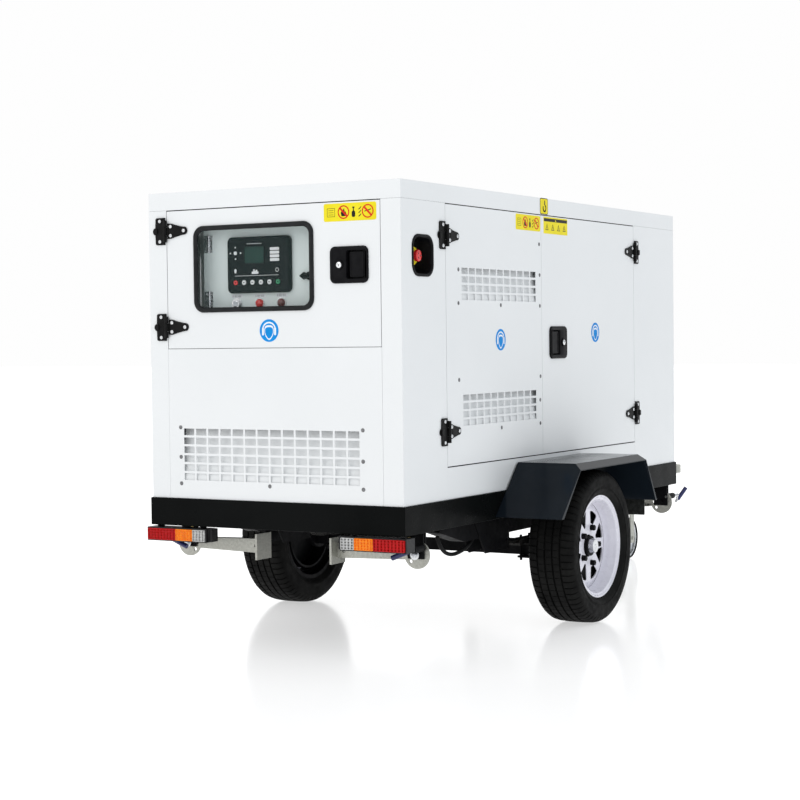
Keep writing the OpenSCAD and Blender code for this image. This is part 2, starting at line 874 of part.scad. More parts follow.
module key_switch() {
    color("#c5c8ca") {
        at(panel_depth - 12, key_y, switch_z) rotate([0, 90, 0]) cylinder(h = 30, r = 11);
        at(panel_depth - 13, key_y, switch_z) rotate([0, 90, 0]) cylinder(h = 12, r = 16);
        at(panel_depth - 28, key_y, switch_z) translate([0, -1.5, -9]) cube([18, 3, 18]);
    }
}

module estop_cup() {
    color("#141516") on_side(-1) {
        difference() {
            union() {
                side_sheet(-half_w - 3, 3) translate([cup_s, cup_z]) rounded(146, 142, 34);
                side_sheet(-half_w, 52) translate([cup_s, cup_z]) rounded(128, 124, 17);
            }
            side_sheet(-half_w - 10, 58.5) translate([cup_s, cup_z]) rounded(122, 118, 14);
            at(cup_s, -half_w + 60, cup_z) rotate([90, 0, 0]) cylinder(h = 40, r = 11 + 0.1);
        }
    }
}

module estop_button() {
    color("#d3202a") at(cup_s, -half_w, cup_z) rotate([-90, 0, 0]) {
        translate([0, 0, 12]) cylinder(h = 14, r1 = 18, r2 = 20);
        translate([0, 0, 26]) cylinder(h = 36, r = 11);
    }
}

// ---- power unit --------------------------------------------------------------------------

module engine_block() {
    color("#2f5d43") {
        difference() {
            union() {
                blk(1150, 1830, -150, 150, shaft_z - 60, shaft_z + 230);
                blk(1170, 1810, -120, 120, shaft_z + 230, shaft_z + 360);
                blk(1200, 1780, -125, 125, shaft_z - 190, shaft_z - 60);
                at(1150, 0, shaft_z) rotate([0, -90, 0]) cylinder(h = 50, r = 190);
            }
            blk(1165, 1815, -125, 125, shaft_z - 45, shaft_z + 215);
            blk(1185, 1795, -100, 100, shaft_z + 240, shaft_z + 345);
            blk(1212, 1768, -113, 113, shaft_z - 178, shaft_z - 70);
        }
        for (s = [1240, 1740]) {
            both_sides() blk(s - 30, s + 30, -250, -126, deck_z + 0.5, deck_z + 150);
        }
    }
}

module alternator() {
    color("#3a3d40") {
        difference() {
            at(640, 0, shaft_z) rotate([0, 90, 0]) cylinder(h = 459, r = 205);
            at(660, 0, shaft_z) rotate([0, 90, 0]) cylinder(h = 419, r = 180);
        }
        at(640, 0, shaft_z) rotate([0, 90, 0]) cylinder(h = 459, r = 95);
        blk(700, 900, -120, 120, shaft_z + 203, shaft_z + 330);
        both_sides() blk(700, 1020, -200, -150, deck_z + 0.5, shaft_z - 120);
    }
}

module engine_fan() {
    color("#202020") at(1846, 0, shaft_z + 60) rotate([0, 90, 0]) {
        cylinder(h = 40, r = 55);
        for (i = [0 : 6]) {
            rotate([0, 0, i * 360 / 7]) translate([50, 0, 14]) rotate([30, 0, 0])
                translate([0, -25, 0]) cube([185, 50, 4]);
        }
    }
}

module radiator() {
    color("#26292b") {
        difference() {
            blk(1925, 2005, -330, 330, deck_z + 130, deck_z + 900);
            blk(1920, 2010, -290, 290, deck_z + 190, deck_z + 830);
        }
        blk(1945, 1985, -289.5, 289.5, deck_z + 190.5, deck_z + 829.5);
        both_sides() blk(1935, 1995, -326, -280, deck_z + 0.5, deck_z + 129.5);
    }
}

module exhaust_silencer() {
    color("#8d9093") {
        difference() {
            at(2190, -320, deck_z + 780) rotate([-90, 0, 0]) cylinder(h = 640, r = 95);
            at(2190, -310, deck_z + 780) rotate([-90, 0, 0]) cylinder(h = 620, r = 90);
        }
        for (y = [-230, 200]) {
            blk(2180, 2200, y, y + 30, deck_z + 0.5, deck_z + 684);
        }
    }
}

module battery() {
    color("#1e2022") {
        blk(350, 520, -330, -60, deck_z + 0.5, deck_z + 205);
        for (y = [-300, -100]) {
            at(435, y, deck_z + 205.2) cylinder(h = 16, r = 8);
        }
    }
}

// ---- hose under the chassis --------------------------------------------------------------

function hose_dir(i) =
    let (a = hose_pts[max(i - 1, 0)], b = hose_pts[min(i + 1, len(hose_pts) - 1)], d = b - a)
    d / norm(d);

module underslung_hose() {
    n = len(hose_pts);
    points = [for (i = [0 : n - 1], k = [0 : hose_sides - 1])
        let (d = hose_dir(i), a = 360 * k / hose_sides)
        [hose_pts[i][0] - mid_s - d[1] * hose_r * cos(a), hose_y + hose_r * sin(a),
            hose_pts[i][1] + d[0] * hose_r * cos(a)]];
    walls = [for (i = [0 : n - 2], k = [0 : hose_sides - 1])
        let (j = (k + 1) % hose_sides)
        [i * hose_sides + k, i * hose_sides + j, (i + 1) * hose_sides + j,
            (i + 1) * hose_sides + k]];
    first = [for (k = [hose_sides - 1 : -1 : 0]) k];
    last = [for (k = [0 : hose_sides - 1]) (n - 1) * hose_sides + k];
    color("#111111") polyhedron(points, concat([first], walls, [last]));
}

// ---- jockey wheel --------------------------------------------------------------------------

module jockey_clamp() {
    color("#a9adb0") at(jockey_s, 0, 0) {
        difference() {
            union() {
                translate([0, 0, base_z - 90]) cylinder(h = 330, r = 30);
                translate([-50, -112, base_z + 8.3]) cube([100, 224, 34]);
            }
            translate([0, 0, base_z - 100]) cylinder(h = 346, r = 26);
        }
    }
}

module jockey_tube() {
    color("#c2c5c7") at(jockey_s, 0, 0) {
        difference() {
            translate([0, 0, fork_z + 8]) cylinder(h = 240, r = 25.6);
            translate([0, 0, fork_z + 60]) cylinder(h = 200, r = 21);
        }
    }
}

module jockey_fork() {
    color("#b4b7b9") at(jockey_s, 0, 0) {
        translate([-jockey_trail - 30, -40, fork_z - 6]) cube([jockey_trail + 62, 80, 6]);
        translate([0, 0, fork_z]) cylinder(h = 7.5, r = 28);
        for (y = [-40, 34]) {
            translate([-jockey_trail - 22, y, jockey_r - 22])
                cube([44, 6, fork_z - jockey_r + 17]);
        }
        translate([-jockey_trail, -44, jockey_r]) rotate([-90, 0, 0]) cylinder(h = 88, r = 8);
    }
}

module jockey_wheel() {
    color("#2a2b2c") at(jockey_s - jockey_trail, 0, jockey_r) rotate([90, 0, 0]) difference() {
        union() {
            rotate_extrude($fn = 96) translate([jockey_r - 14, 0]) rounded(28, 58, 12);
            cylinder(h = 44, r = jockey_r - 13, center = true);
        }
        cylinder(h = 80, r = 8 + run_gap, center = true);
    }
}

module jockey_crank() {
    color("#c9ccce") at(jockey_s, 0, base_z + 240.5) {
        cylinder(h = 26, r = 14);
        translate([-140, -9, 26]) cube([150, 18, 6]);
        translate([-128, 0, 30]) cylinder(h = 92, r = 12);
    }
}

// ---- drawing ---------------------------------------------------------------------------------

base_frame();
chassis_rails();
drawbar();
tow_eye();
leaf_springs();
mudguards();
mudflaps();
leg_brackets();
tail_light_housings();
tail_light_lenses();
rear_post_right();
canopy_frame();
roof();
rear_lower_panel();
front_panel();
hinge_bases();
estop_cup();
control_box();
engine_block();
alternator();
radiator();
exhaust_silencer();
battery();
underslung_hose();
jockey_clamp();
lifting_eye();
axle_beam();
tyre(-1);  // tyre_right
rim(-1);  // rim_right
tyre(1);  // tyre_left
rim(1);  // rim_left
leg(-1, -1);  // leg_rear_right
leg(1, -1);  // leg_rear_left
leg(-1, 1);  // leg_front_right
leg(1, 1);  // leg_front_left
lock_pin(-1, -1);  // lock_pin_rear_right
lock_pin(1, -1);  // lock_pin_rear_left
lock_pin(-1, 1);  // lock_pin_front_right
lock_pin(1, 1);  // lock_pin_front_left
rear_door();
door_window();
side_door_rear(-1);  // side_door_rear_right
side_door_front(-1);  // side_door_front_right
side_door_rear(1);  // side_door_rear_left
side_door_front(1);  // side_door_front_left
rear_latch();
side_latch(-1);  // right_latch
side_latch(1);  // left_latch
rear_paddle();
side_paddle(-1);  // right_paddle
side_paddle(1);  // left_paddle
control_panel();
controller();
key_switch();
estop_button();
engine_fan();
jockey_tube();
jockey_fork();
jockey_wheel();
jockey_crank();
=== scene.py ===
import json
import math

import bmesh
import bpy
from mathutils import Matrix, Vector
from mathutils.geometry import tessellate_polygon

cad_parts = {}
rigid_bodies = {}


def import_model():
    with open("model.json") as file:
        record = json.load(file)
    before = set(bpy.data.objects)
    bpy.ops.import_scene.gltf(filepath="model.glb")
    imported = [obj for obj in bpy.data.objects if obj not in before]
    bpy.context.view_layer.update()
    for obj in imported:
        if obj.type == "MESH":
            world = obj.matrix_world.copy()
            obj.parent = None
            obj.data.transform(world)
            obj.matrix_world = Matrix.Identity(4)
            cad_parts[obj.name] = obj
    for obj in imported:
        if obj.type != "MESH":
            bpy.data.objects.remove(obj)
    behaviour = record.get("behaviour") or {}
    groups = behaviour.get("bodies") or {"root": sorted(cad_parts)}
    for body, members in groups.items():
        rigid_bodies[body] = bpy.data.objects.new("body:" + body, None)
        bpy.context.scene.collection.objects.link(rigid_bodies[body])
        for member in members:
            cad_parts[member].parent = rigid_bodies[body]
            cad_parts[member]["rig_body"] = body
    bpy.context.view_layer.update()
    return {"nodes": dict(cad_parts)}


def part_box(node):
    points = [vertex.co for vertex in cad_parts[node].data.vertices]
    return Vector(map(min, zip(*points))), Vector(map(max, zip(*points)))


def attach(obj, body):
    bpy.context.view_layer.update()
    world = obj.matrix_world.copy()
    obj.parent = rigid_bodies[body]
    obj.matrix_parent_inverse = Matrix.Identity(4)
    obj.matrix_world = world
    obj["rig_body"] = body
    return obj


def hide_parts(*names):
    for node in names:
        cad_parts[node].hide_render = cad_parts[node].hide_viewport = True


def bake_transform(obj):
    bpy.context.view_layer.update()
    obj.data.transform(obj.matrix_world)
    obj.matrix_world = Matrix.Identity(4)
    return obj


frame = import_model()

# -- places --
# Stations run forward from the canopy's rear face and heights up from the deck,
# both in millimetres; Blender and the CAD frame are in metres.

MM = 0.001
CANOPY_LO, CANOPY_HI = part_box("roof")
REAR_X = CANOPY_LO.x
DECK_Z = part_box("base_frame")[1].z
HALF_W = CANOPY_HI.y / MM
LENGTH = (CANOPY_HI.x - CANOPY_LO.x) / MM
WALL_H = (CANOPY_LO.z - DECK_Z) / MM
GROUND = -DECK_Z / MM
AXLE_S = 1121
TYRE_R = 290
WHEEL_Y = 645
WHEEL_Z = GROUND + TYRE_R
SIDES = {"right": -1, "left": 1}


def pt(s, y, z):
    """A station, a distance to the left and a height above the deck, as a point."""
    return Vector((REAR_X + s * MM, y * MM, DECK_Z + z * MM))


def facing(origin, across, up):
    """A frame in millimetres on a wall: x across it, y up it, z out of it."""
    x, y = Vector(across), Vector(up)
    turn = Matrix((x, y, x.cross(y))).transposed().to_4x4()
    return Matrix.Translation(origin) @ turn @ Matrix.Scale(MM, 4)


def end_wall(s, y, z, d):
    """A frame on a wall that faces forward, with d = 1, or back, with d = -1."""
    return facing(pt(s, y, z), (0, d, 0), (0, 0, 1))


def on_rear(y, z, s=0):
    return end_wall(s, y, z, -1)


def on_side(side, s, z, y=None):
    y = HALF_W if y is None else y
    return facing(pt(s, side * y, z), (-side, 0, 0), (0, 0, 1))


def flipped(place, d):
    return place @ Matrix.Diagonal((d, 1, 1, 1))


def polar(r, degrees, cx=0.0, cy=0.0):
    a = math.radians(degrees)
    return cx + r * math.cos(a), cy + r * math.sin(a)


ROW = Matrix.Translation(pt(0, 0, 0)) @ Matrix.Scale(MM, 4)

# -- materials --


def put(node, values):
    """Sets a node's inputs by name."""
    for key, value in values.items():
        node.inputs[key].default_value = value


def surface(name, dark, light, rough, scale=4.0, metallic=0.0, specular=0.5, bumps=(),
            coat=0.0, alpha=1.0, stretch=(1, 1, 1), glow=0.0, spread=0.15):
    """A finish whose colour and roughness drift between two ends, with fine bumps."""
    made = bpy.data.materials.new(name)
    made.use_nodes = True
    nodes, links = made.node_tree.nodes, made.node_tree.links
    shader = nodes["Principled BSDF"]
    coords = nodes.new("ShaderNodeTexCoord")
    mapping = nodes.new("ShaderNodeMapping")
    put(mapping, {"Scale": stretch})
    links.new(coords.outputs["Object"], mapping.inputs["Vector"])

    def noise(size, detail):
        node = nodes.new("ShaderNodeTexNoise")
        put(node, {"Scale": size, "Detail": detail})
        links.new(mapping.outputs["Vector"], node.inputs["Vector"])
        return node.outputs["Fac"]

    drift = noise(scale, 4.0)
    ramp = nodes.new("ShaderNodeValToRGB")
    for end, at, colour in zip(ramp.color_ramp.elements, (0.5 - spread, 0.5 + spread), (dark, light)):
        end.position = at
        end.color = (*colour, 1)
    links.new(drift, ramp.inputs["Fac"])
    links.new(ramp.outputs["Color"], shader.inputs["Base Color"])
    span = nodes.new("ShaderNodeMapRange")
    put(span, {"From Min": 0.3, "From Max": 0.7, "To Min": rough[0], "To Max": rough[1]})
    links.new(noise(scale * 5, 3.0), span.inputs["Value"])
    links.new(span.outputs["Result"], shader.inputs["Roughness"])
    put(shader, {"Metallic": metallic, "Specular IOR Level": specular, "Coat Weight": coat,
                 "Coat Roughness": 0.12, "Alpha": alpha})
    if glow:
        links.new(ramp.outputs["Color"], shader.inputs["Emission Color"])
        put(shader, {"Emission Strength": glow})
    last = None
    for size, depth in bumps:
        bump = nodes.new("ShaderNodeBump")
        put(bump, {"Strength": 1.0, "Distance": depth})
        links.new(noise(size, 2.0), bump.inputs["Height"])
        if last:
            links.new(last.outputs["Normal"], bump.inputs["Normal"])
        last = bump
    if last:
        links.new(last.outputs["Normal"], shader.inputs["Normal"])
    return made


def cells(name, dark, light, rough, scale):
    """A metal broken into crystal-like patches, as on galvanised steel."""
    made = surface(name, dark, light, rough, scale, metallic=1.0, bumps=((900, 2e-5),))
    nodes, links = made.node_tree.nodes, made.node_tree.links
    patch = nodes.new("ShaderNodeTexVoronoi")
    put(patch, {"Scale": scale * 9})
    links.new(nodes["Mapping"].outputs["Vector"], patch.inputs["Vector"])
    spread = nodes.new("ShaderNodeSeparateColor")
    links.new(patch.outputs["Color"], spread.inputs["Color"])
    links.new(spread.outputs[0], nodes["Color Ramp"].inputs["Fac"])
    nodes["Color Ramp"].color_ramp.elements[0].position = 0.0
    nodes["Color Ramp"].color_ramp.elements[1].position = 1.0
    return made


ORANGE_PEEL = ((260, 4e-5), (1400, 1e-5))
WHITE = surface("white_powder_coat", (0.775, 0.792, 0.80), (0.80, 0.815, 0.823), (0.30, 0.38),
                scale=1.6, specular=0.42, bumps=ORANGE_PEEL)
PANEL_WHITE = surface("panel_white", (0.78, 0.87, 0.86), (0.82, 0.90, 0.89), (0.38, 0.5),
                      scale=6, specular=0.4, bumps=((500, 3e-5),))
BASE_BLACK = surface("chassis_black_gloss", (0.003, 0.0035, 0.0035), (0.005, 0.0055, 0.0055),
                     (0.24, 0.36), scale=3, specular=0.03, bumps=((180, 6e-5), (900, 1e-5)))
FRAME_BLACK = surface("underframe_black", (0.003, 0.003, 0.0035), (0.008, 0.008, 0.009), (0.4, 0.6),
                      scale=9, specular=0.06, bumps=((300, 8e-5),))
GUARD_BLACK = surface("guard_blue_black", (0.006, 0.009, 0.013), (0.009, 0.013, 0.018), (0.10, 0.17),
                      scale=2.5, specular=0.09, bumps=((120, 4e-5),), coat=0.03)
HINGE_BLACK = surface("hinge_black", (0.004,) * 3, (0.009,) * 3, (0.35, 0.5),
                      scale=30, specular=0.09, bumps=((900, 4e-5),))
LATCH_BLACK = surface("latch_black", (0.004, 0.004, 0.005), (0.008, 0.008, 0.009), (0.28, 0.42),
                      scale=30, specular=0.07, bumps=((1500, 3e-5),))
RUBBER = surface("rubber_black", (0.006,) * 3, (0.013,) * 3, (0.5, 0.68),
                 scale=20, specular=0.1, bumps=((700, 5e-5),))
FLAP = surface("mudflap_rubber", (0.014, 0.015, 0.014), (0.04, 0.042, 0.04), (0.45, 0.6), scale=60,
               specular=0.2, bumps=((500, 8e-5),))
TYRE = surface("tyre_rubber", (0.0035,) * 3, (0.009, 0.009, 0.0085), (0.55, 0.75),
               scale=11, specular=0.08, bumps=((420, 8e-5), (1600, 3e-5)))
RIM_WHITE = surface("rim_white_gloss", (0.70, 0.69, 0.76), (0.77, 0.76, 0.83), (0.22, 0.34),
                    scale=7, specular=0.5, bumps=((300, 3e-5),), coat=0.2)
GALVANISED = cells("galvanised_steel", (0.37, 0.37, 0.335), (0.45, 0.45, 0.41), (0.4, 0.52), 20)
ZINC = surface("bright_zinc", (0.50, 0.51, 0.53), (0.68, 0.69, 0.70), (0.2, 0.34), scale=30,
               metallic=1.0, bumps=((700, 2e-5),))
YELLOW_ZINC = surface("yellow_zinc", (0.50, 0.37, 0.13), (0.66, 0.53, 0.26), (0.25, 0.4),
                      scale=40, metallic=1.0, bumps=((700, 2e-5),))
STEEL = surface("screw_steel", (0.55, 0.56, 0.57), (0.74, 0.75, 0.76), (0.22, 0.32), scale=60,
                metallic=1.0, bumps=((900, 2e-5),))
SPRING = surface("spring_steel", (0.012,) * 3, (0.032, 0.03, 0.028), (0.45, 0.65),
                 scale=18, metallic=0.3, specular=0.3, bumps=((260, 0.00012),))
NAVY = surface("grip_navy", (0.008, 0.011, 0.075), (0.012, 0.017, 0.11), (0.3, 0.42), scale=40,
               specular=0.5, bumps=((900, 4e-5),))
GLASS = surface("window_clear", (0.05, 0.09, 0.08), (0.07, 0.11, 0.10), (0.03, 0.05), scale=3,
                specular=0.5, alpha=0.08)
GASKET = surface("gasket_rubber", (0.008, 0.009, 0.010), (0.014, 0.015, 0.016), (0.35, 0.5),
                 scale=25, specular=0.16, bumps=((1200, 3e-5),))
CONTROLLER = surface("controller_black", (0.005, 0.008, 0.010), (0.008, 0.012, 0.014), (0.32, 0.42),
                     scale=40, specular=0.08, bumps=((2200, 2e-5),))
LCD = surface("display_green", (0.012, 0.04, 0.034), (0.018, 0.055, 0.046), (0.12, 0.2), scale=30,
              specular=0.2)
KEY_WHITE = surface("key_white", (0.74, 0.76, 0.77), (0.82, 0.84, 0.85), (0.35, 0.45), scale=80)
KEY_GREY = surface("label_grey", (0.40, 0.42, 0.43), (0.52, 0.54, 0.55), (0.45, 0.55), scale=300,
                   spread=0.05)
RED = surface("signal_red", (0.60, 0.012, 0.014), (0.75, 0.028, 0.028), (0.22, 0.32), scale=30,
              coat=0.3)
DARK_RED = surface("lamp_dark_red", (0.09, 0.008, 0.010), (0.15, 0.014, 0.016), (0.15, 0.25),
                   scale=60, coat=0.4)
GREEN_KEY = surface("key_green", (0.01, 0.23, 0.09), (0.02, 0.30, 0.13), (0.3, 0.4), scale=80)
SIGN_YELLOW = surface("sign_yellow", (0.80, 0.67, 0.012), (0.86, 0.74, 0.022), (0.4, 0.5),
                      scale=14, specular=0.15, bumps=((900, 1e-5),))
SIGN_BLACK = surface("sign_black", (0.008, 0.008, 0.006), (0.02, 0.018, 0.014), (0.35, 0.45), scale=60,
                     specular=0.15)
SIGN_RED = surface("sign_red", (0.62, 0.016, 0.008), (0.70, 0.03, 0.012), (0.35, 0.45), scale=60,
                   specular=0.15)
SIGN_BLUE = surface("sign_blue", (0.003, 0.24, 0.66), (0.006, 0.28, 0.74), (0.45, 0.55), scale=30,
                    specular=0.12)
SIGN_WHITE = surface("sign_white", (0.78, 0.82, 0.86), (0.86, 0.89, 0.92), (0.35, 0.42), scale=60)
LENS_RED = surface("lens_red", (0.36, 0.003, 0.005), (0.48, 0.007, 0.008), (0.2, 0.3), scale=120,
                   specular=0.12, coat=0.05, glow=0.04)
LENS_AMBER = surface("lens_amber", (0.72, 0.15, 0.004), (0.86, 0.24, 0.006), (0.2, 0.3),
                     scale=120, specular=0.2, coat=0.1, glow=0.08)
LENS_CLEAR = surface("lens_clear", (0.36,) * 3, (0.52, 0.52, 0.51), (0.14, 0.22), scale=120,
                     coat=0.2)
LAMP_BLACK = surface("lamp_black", (0.008, 0.008, 0.009), (0.013, 0.013, 0.014), (0.3, 0.45),
                     scale=30, specular=0.25, bumps=((900, 3e-5),))
ENGINE_GREEN = surface("engine_green", (0.022, 0.095, 0.055), (0.032, 0.13, 0.075), (0.35, 0.5),
                       scale=8, bumps=((160, 0.0002), (700, 6e-5)))
ALTERNATOR = surface("alternator_grey", (0.038, 0.041, 0.046), (0.058, 0.062, 0.068), (0.4, 0.55),
                     scale=8, bumps=((200, 0.00015),))
SILENCER = surface("silencer_steel", (0.30, 0.29, 0.28), (0.46, 0.45, 0.43), (0.35, 0.55), scale=7,
                   metallic=1.0, bumps=((160, 0.0001),))
CORE = surface("core_black_alloy", (0.02, 0.021, 0.022), (0.05, 0.052, 0.055), (0.4, 0.6), scale=60,
               metallic=0.5, bumps=((900, 0.0003),), stretch=(1, 1, 6))
BATTERY = surface("battery_black", (0.012, 0.012, 0.013), (0.022, 0.022, 0.024), (0.35, 0.5),
                  scale=20, bumps=((800, 6e-5),))
FAN = surface("fan_plastic", (0.012,) * 3, (0.02,) * 3, (0.35, 0.5), scale=20,
              bumps=((600, 5e-5),))
CHROME = surface("chrome", (0.70, 0.71, 0.72), (0.86, 0.87, 0.88), (0.08, 0.16), scale=60,
                 metallic=1.0)
RIVET = surface("rivet_metal", (0.13, 0.13, 0.135), (0.22, 0.22, 0.225), (0.3, 0.4), scale=60,
                metallic=0.5, bumps=((900, 2e-5),))
SEAL = surface("door_seal", (0.004,) * 3, (0.009,) * 3, (0.6, 0.8), scale=40,
               specular=0.05, bumps=((900, 5e-5),))
FOAM = surface("acoustic_foam", (0.014, 0.014, 0.015), (0.035, 0.035, 0.037), (0.8, 0.95), scale=40,
               specular=0.1, bumps=((90, 0.002), (400, 0.0004)))

# -- mesh building --


def place_mesh(mesh, name, body, mats, bevel=0.0, segments=2, angle=35, slot=None, stands_for=()):
    for m in mats:
        mesh.materials.append(m)
    mesh.shade_smooth()
    mesh.set_sharp_from_angle(angle=math.radians(angle))
    made = bpy.data.objects.new(name, mesh)
    bpy.context.scene.collection.objects.link(made)
    if bevel:
        edge = made.modifiers.new("edges", "BEVEL")
        edge.width = bevel * MM
        edge.segments = segments
        edge.limit_method = "ANGLE"
        edge.angle_limit = math.radians(angle)
        edge.harden_normals = True
    if body:
        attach(made, body)
    if stands_for:
        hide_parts(*stands_for)
    return made


def outline(w, h, r, cx=0.0, cy=0.0, steps=6):
    """A rounded rectangle, anticlockwise."""
    made = []
    for k, (sx, sy) in enumerate(((1, 1), (-1, 1), (-1, -1), (1, -1))):
        x, y = cx + sx * (w / 2 - r), cy + sy * (h / 2 - r)
        made += [polar(r, 90 * (k + i / steps), x, y) for i in range(steps + 1)]
    return made


def circle(r, cx=0.0, cy=0.0, sides=32):
    return [polar(r, 360 * i / sides, cx, cy) for i in range(sides)]


class Build:
    """Simple solids gathered in one mesh, in the millimetres of whatever frame is in use."""

    def __init__(self, place=ROW):
        self.bm, self.place, self.slot = bmesh.new(), place, 0

    def use(self, place=None, slot=None):
        self.place = self.place if place is None else place
        self.slot = self.slot if slot is None else slot
        return self

    def add(self, points, faces):
        verts = [self.bm.verts.new(self.place @ Vector(p)) for p in points]
        for f in faces:
            self.bm.faces.new([verts[i] for i in f]).material_index = self.slot
        return self

    def loft(self, rings, loop=False):
        """Joins one ring of points to the next; closed at its ends unless it runs in a loop."""
        n, count = len(rings[0]), len(rings)
        faces = []
        for a in range(count if loop else count - 1):
            b = (a + 1) % count
            for i in range(n):
                j = (i + 1) % n
                faces.append((a * n + i, a * n + j, b * n + j, b * n + i))
        if not loop:
            faces.append(tuple(reversed(range(n))))
            faces.append(tuple(range((count - 1) * n, count * n)))
        return self.add([p for ring in rings for p in ring], faces)

    def stack(self, sections, loop=False):
        """Joins flat outlines, each with its height."""
        return self.loft([[(x, y, z) for x, y in shape] for shape, z in sections], loop)

    def prism(self, shape, z0, z1):
        return self.stack([(shape, z0), (shape, z1)])

    def ring(self, outer, inner, z0, z1):
        return self.stack([(outer, z0), (outer, z1), (inner, z1), (inner, z0)], loop=True)

    def plate(self, outer, holes, z0, z1):
        """A flat plate between two heights, with openings right through it."""
        loops = [outer] + holes
        thirds = tessellate_polygon([[Vector((x, y, 0)) for x, y in loop] for loop in loops])
        flat = [p for loop in loops for p in loop]
        n = len(flat)
        faces = [tuple(f) for f in thirds] + [tuple(i + n for i in f) for f in thirds]
        first = 0
        for loop in loops:
            for i in range(len(loop)):
                a, c = first + i, first + (i + 1) % len(loop)
                faces.append((a, c, c + n, a + n))
            first += len(loop)
        return self.add([(x, y, z) for z in (z0, z1) for x, y in flat], faces)

    def box(self, lo, hi):
        return self.prism([(lo[0], lo[1]), (hi[0], lo[1]), (hi[0], hi[1]), (lo[0], hi[1])], lo[2], hi[2])

    def lathe(self, profile, sides=32, loop=False, cx=0.0, cy=0.0):
        return self.stack([(circle(r, cx, cy, sides), z) for r, z in profile], loop)

    def tube(self, path, r, sides=12):
        """A round bar along a path."""
        path = [Vector(p) for p in path]
        rings = []
        for i, p in enumerate(path):
            along = (path[min(i + 1, len(path) - 1)] - path[max(i - 1, 0)]).normalized()
            side = along.cross(Vector((0, 0, 1)))
            side = (side if side.length > 0.05 else along.cross(Vector((0, 1, 0)))).normalized()
            up = side.cross(along)
            rings.append([tuple(p + side * x + up * y) for x, y in circle(r, sides=sides)])
        return self.loft(rings)

    def piece(self, name, body, *mats, **how):
        bmesh.ops.recalc_face_normals(self.bm, faces=self.bm.faces)
        mesh = bpy.data.meshes.new(name)
        self.bm.to_mesh(mesh)
        self.bm.free()
        return place_mesh(mesh, name, body, mats, **how)


def islands(bm):
    """The separate shells of a mesh, each as a set of vertices."""
    left = set(bm.verts)
    while left:
        found, edge = set(), [next(iter(left))]
        while edge:
            v = edge.pop()
            if v not in found:
                found.add(v)
                edge.extend(e.other_vert(v) for e in v.link_edges)
        left -= found
        yield found


def refined(node, mats, bevel=0.0, choose=None, name=None, segments=2, angle=35, slot=None):
    """A CAD node's own shape, joined up, with its edges eased; choose gives an island's material."""
    bm = bmesh.new()
    bm.from_mesh(frame["nodes"][node].data)
    bmesh.ops.remove_doubles(bm, verts=bm.verts, dist=2e-5)
    for f in bm.faces:
        f.material_index = 0
    if choose:
        bm.verts.index_update()
        gone = []
        for island in sorted(islands(bm), key=lambda g: min(v.index for v in g)):
            lo = Vector([min(v.co[k] for v in island) for k in range(3)])
            hi = Vector([max(v.co[k] for v in island) for k in range(3)])
            which = choose(lo, hi)
            if which is None:
                gone.extend(island)
                continue
            for f in {f for v in island for f in v.link_faces}:
                f.material_index = which
        bmesh.ops.delete(bm, geom=gone, context="VERTS")
    bmesh.ops.dissolve_limit(bm, angle_limit=math.radians(0.6), verts=bm.verts, edges=bm.edges)
    bmesh.ops.recalc_face_normals(bm, faces=bm.faces)
    name = name or node + "_finished"
    mesh = bpy.data.meshes.new(name)
    bm.to_mesh(mesh)
    bm.free()
    body = frame["nodes"][node]["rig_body"]
    return place_mesh(mesh, name, body, mats, bevel, segments, angle, slot, (node,))


def screw(b, x, y, r=5.0, z=0.0):
    """A round-headed socket screw."""
    b.lathe([(r, z), (r, z + 0.30 * r), (0.82 * r, z + 0.52 * r), (0.42 * r, z + 0.56 * r),
             (0.38 * r, z + 0.3 * r), (0.01, z + 0.3 * r)], 18, cx=x, cy=y)


def rivet(b, r=4.8):
    b.lathe([(r * 1.5, 0), (r * 1.5, 0.5), (r * 1.1, 0.9), (r, 1.5), (0.6 * r, 2.4), (0.01, 2.8)], 18)


# -- canopy --

refined("roof", [WHITE], bevel=3.5, segments=3, slot="canopy_white")
for node, bevel in (("canopy_frame", 0.9), ("rear_post_right", 0.9), ("rear_lower_panel", 0.5),
                    ("front_panel", 0.5)):
    refined(node, [WHITE], bevel=bevel, slot="canopy_white")
refined("base_frame", [BASE_BLACK], bevel=2.5, segments=3, slot="chassis_black")


def sheets_only(lo, hi):
    """Keeps the sheets of a door or panel and leaves out small parts, which are drawn below."""
    return 0 if max(hi - lo) > 0.2 else None


DOORS = ["rear_door"] + [f"side_door_{end}_{side}" for side in SIDES for end in ("rear", "front")]
for door in DOORS:
    refined(door, [WHITE], bevel=0.7, choose=sheets_only, slot="canopy_white")

# Heights of the strap hinges, then the side doors' two ends, the top of the sill, the
# gap over a door and the depth of its edge
HINGE_ZS, REAR_HINGE_ZS = (234, 909), (607, 947)
DOOR_S0, DOOR_S1 = 304, 1942
SILL, ROOF_GAP, DOOR_DEEP = 110, 3, 9


def seals():
    """Dark seals down in the gaps round the doors, held by the frame."""
    b = Build()
    for sign in SIDES.values():
        y0, y1 = sorted((sign * (HALF_W - 1.4), sign * (HALF_W - DOOR_DEEP)))
        b.box((DOOR_S0, y0, SILL + 0.1), (DOOR_S1, y1, SILL + 3.7))
        b.box((DOOR_S0, y0, WALL_H - ROOF_GAP + 0.2), (DOOR_S1, y1, WALL_H + 0.2))
    door_y, door_z = HALF_W - 80, 531
    b.box((1.4, -door_y, door_z - 1.8), (DOOR_DEEP, door_y, door_z - 0.2))
    b.box((1.4, -door_y, WALL_H - ROOF_GAP + 0.2), (DOOR_DEEP, door_y, WALL_H + 0.2))
    b.piece("door_seals", "trailer", SEAL, slot="rubber_black")


seals()

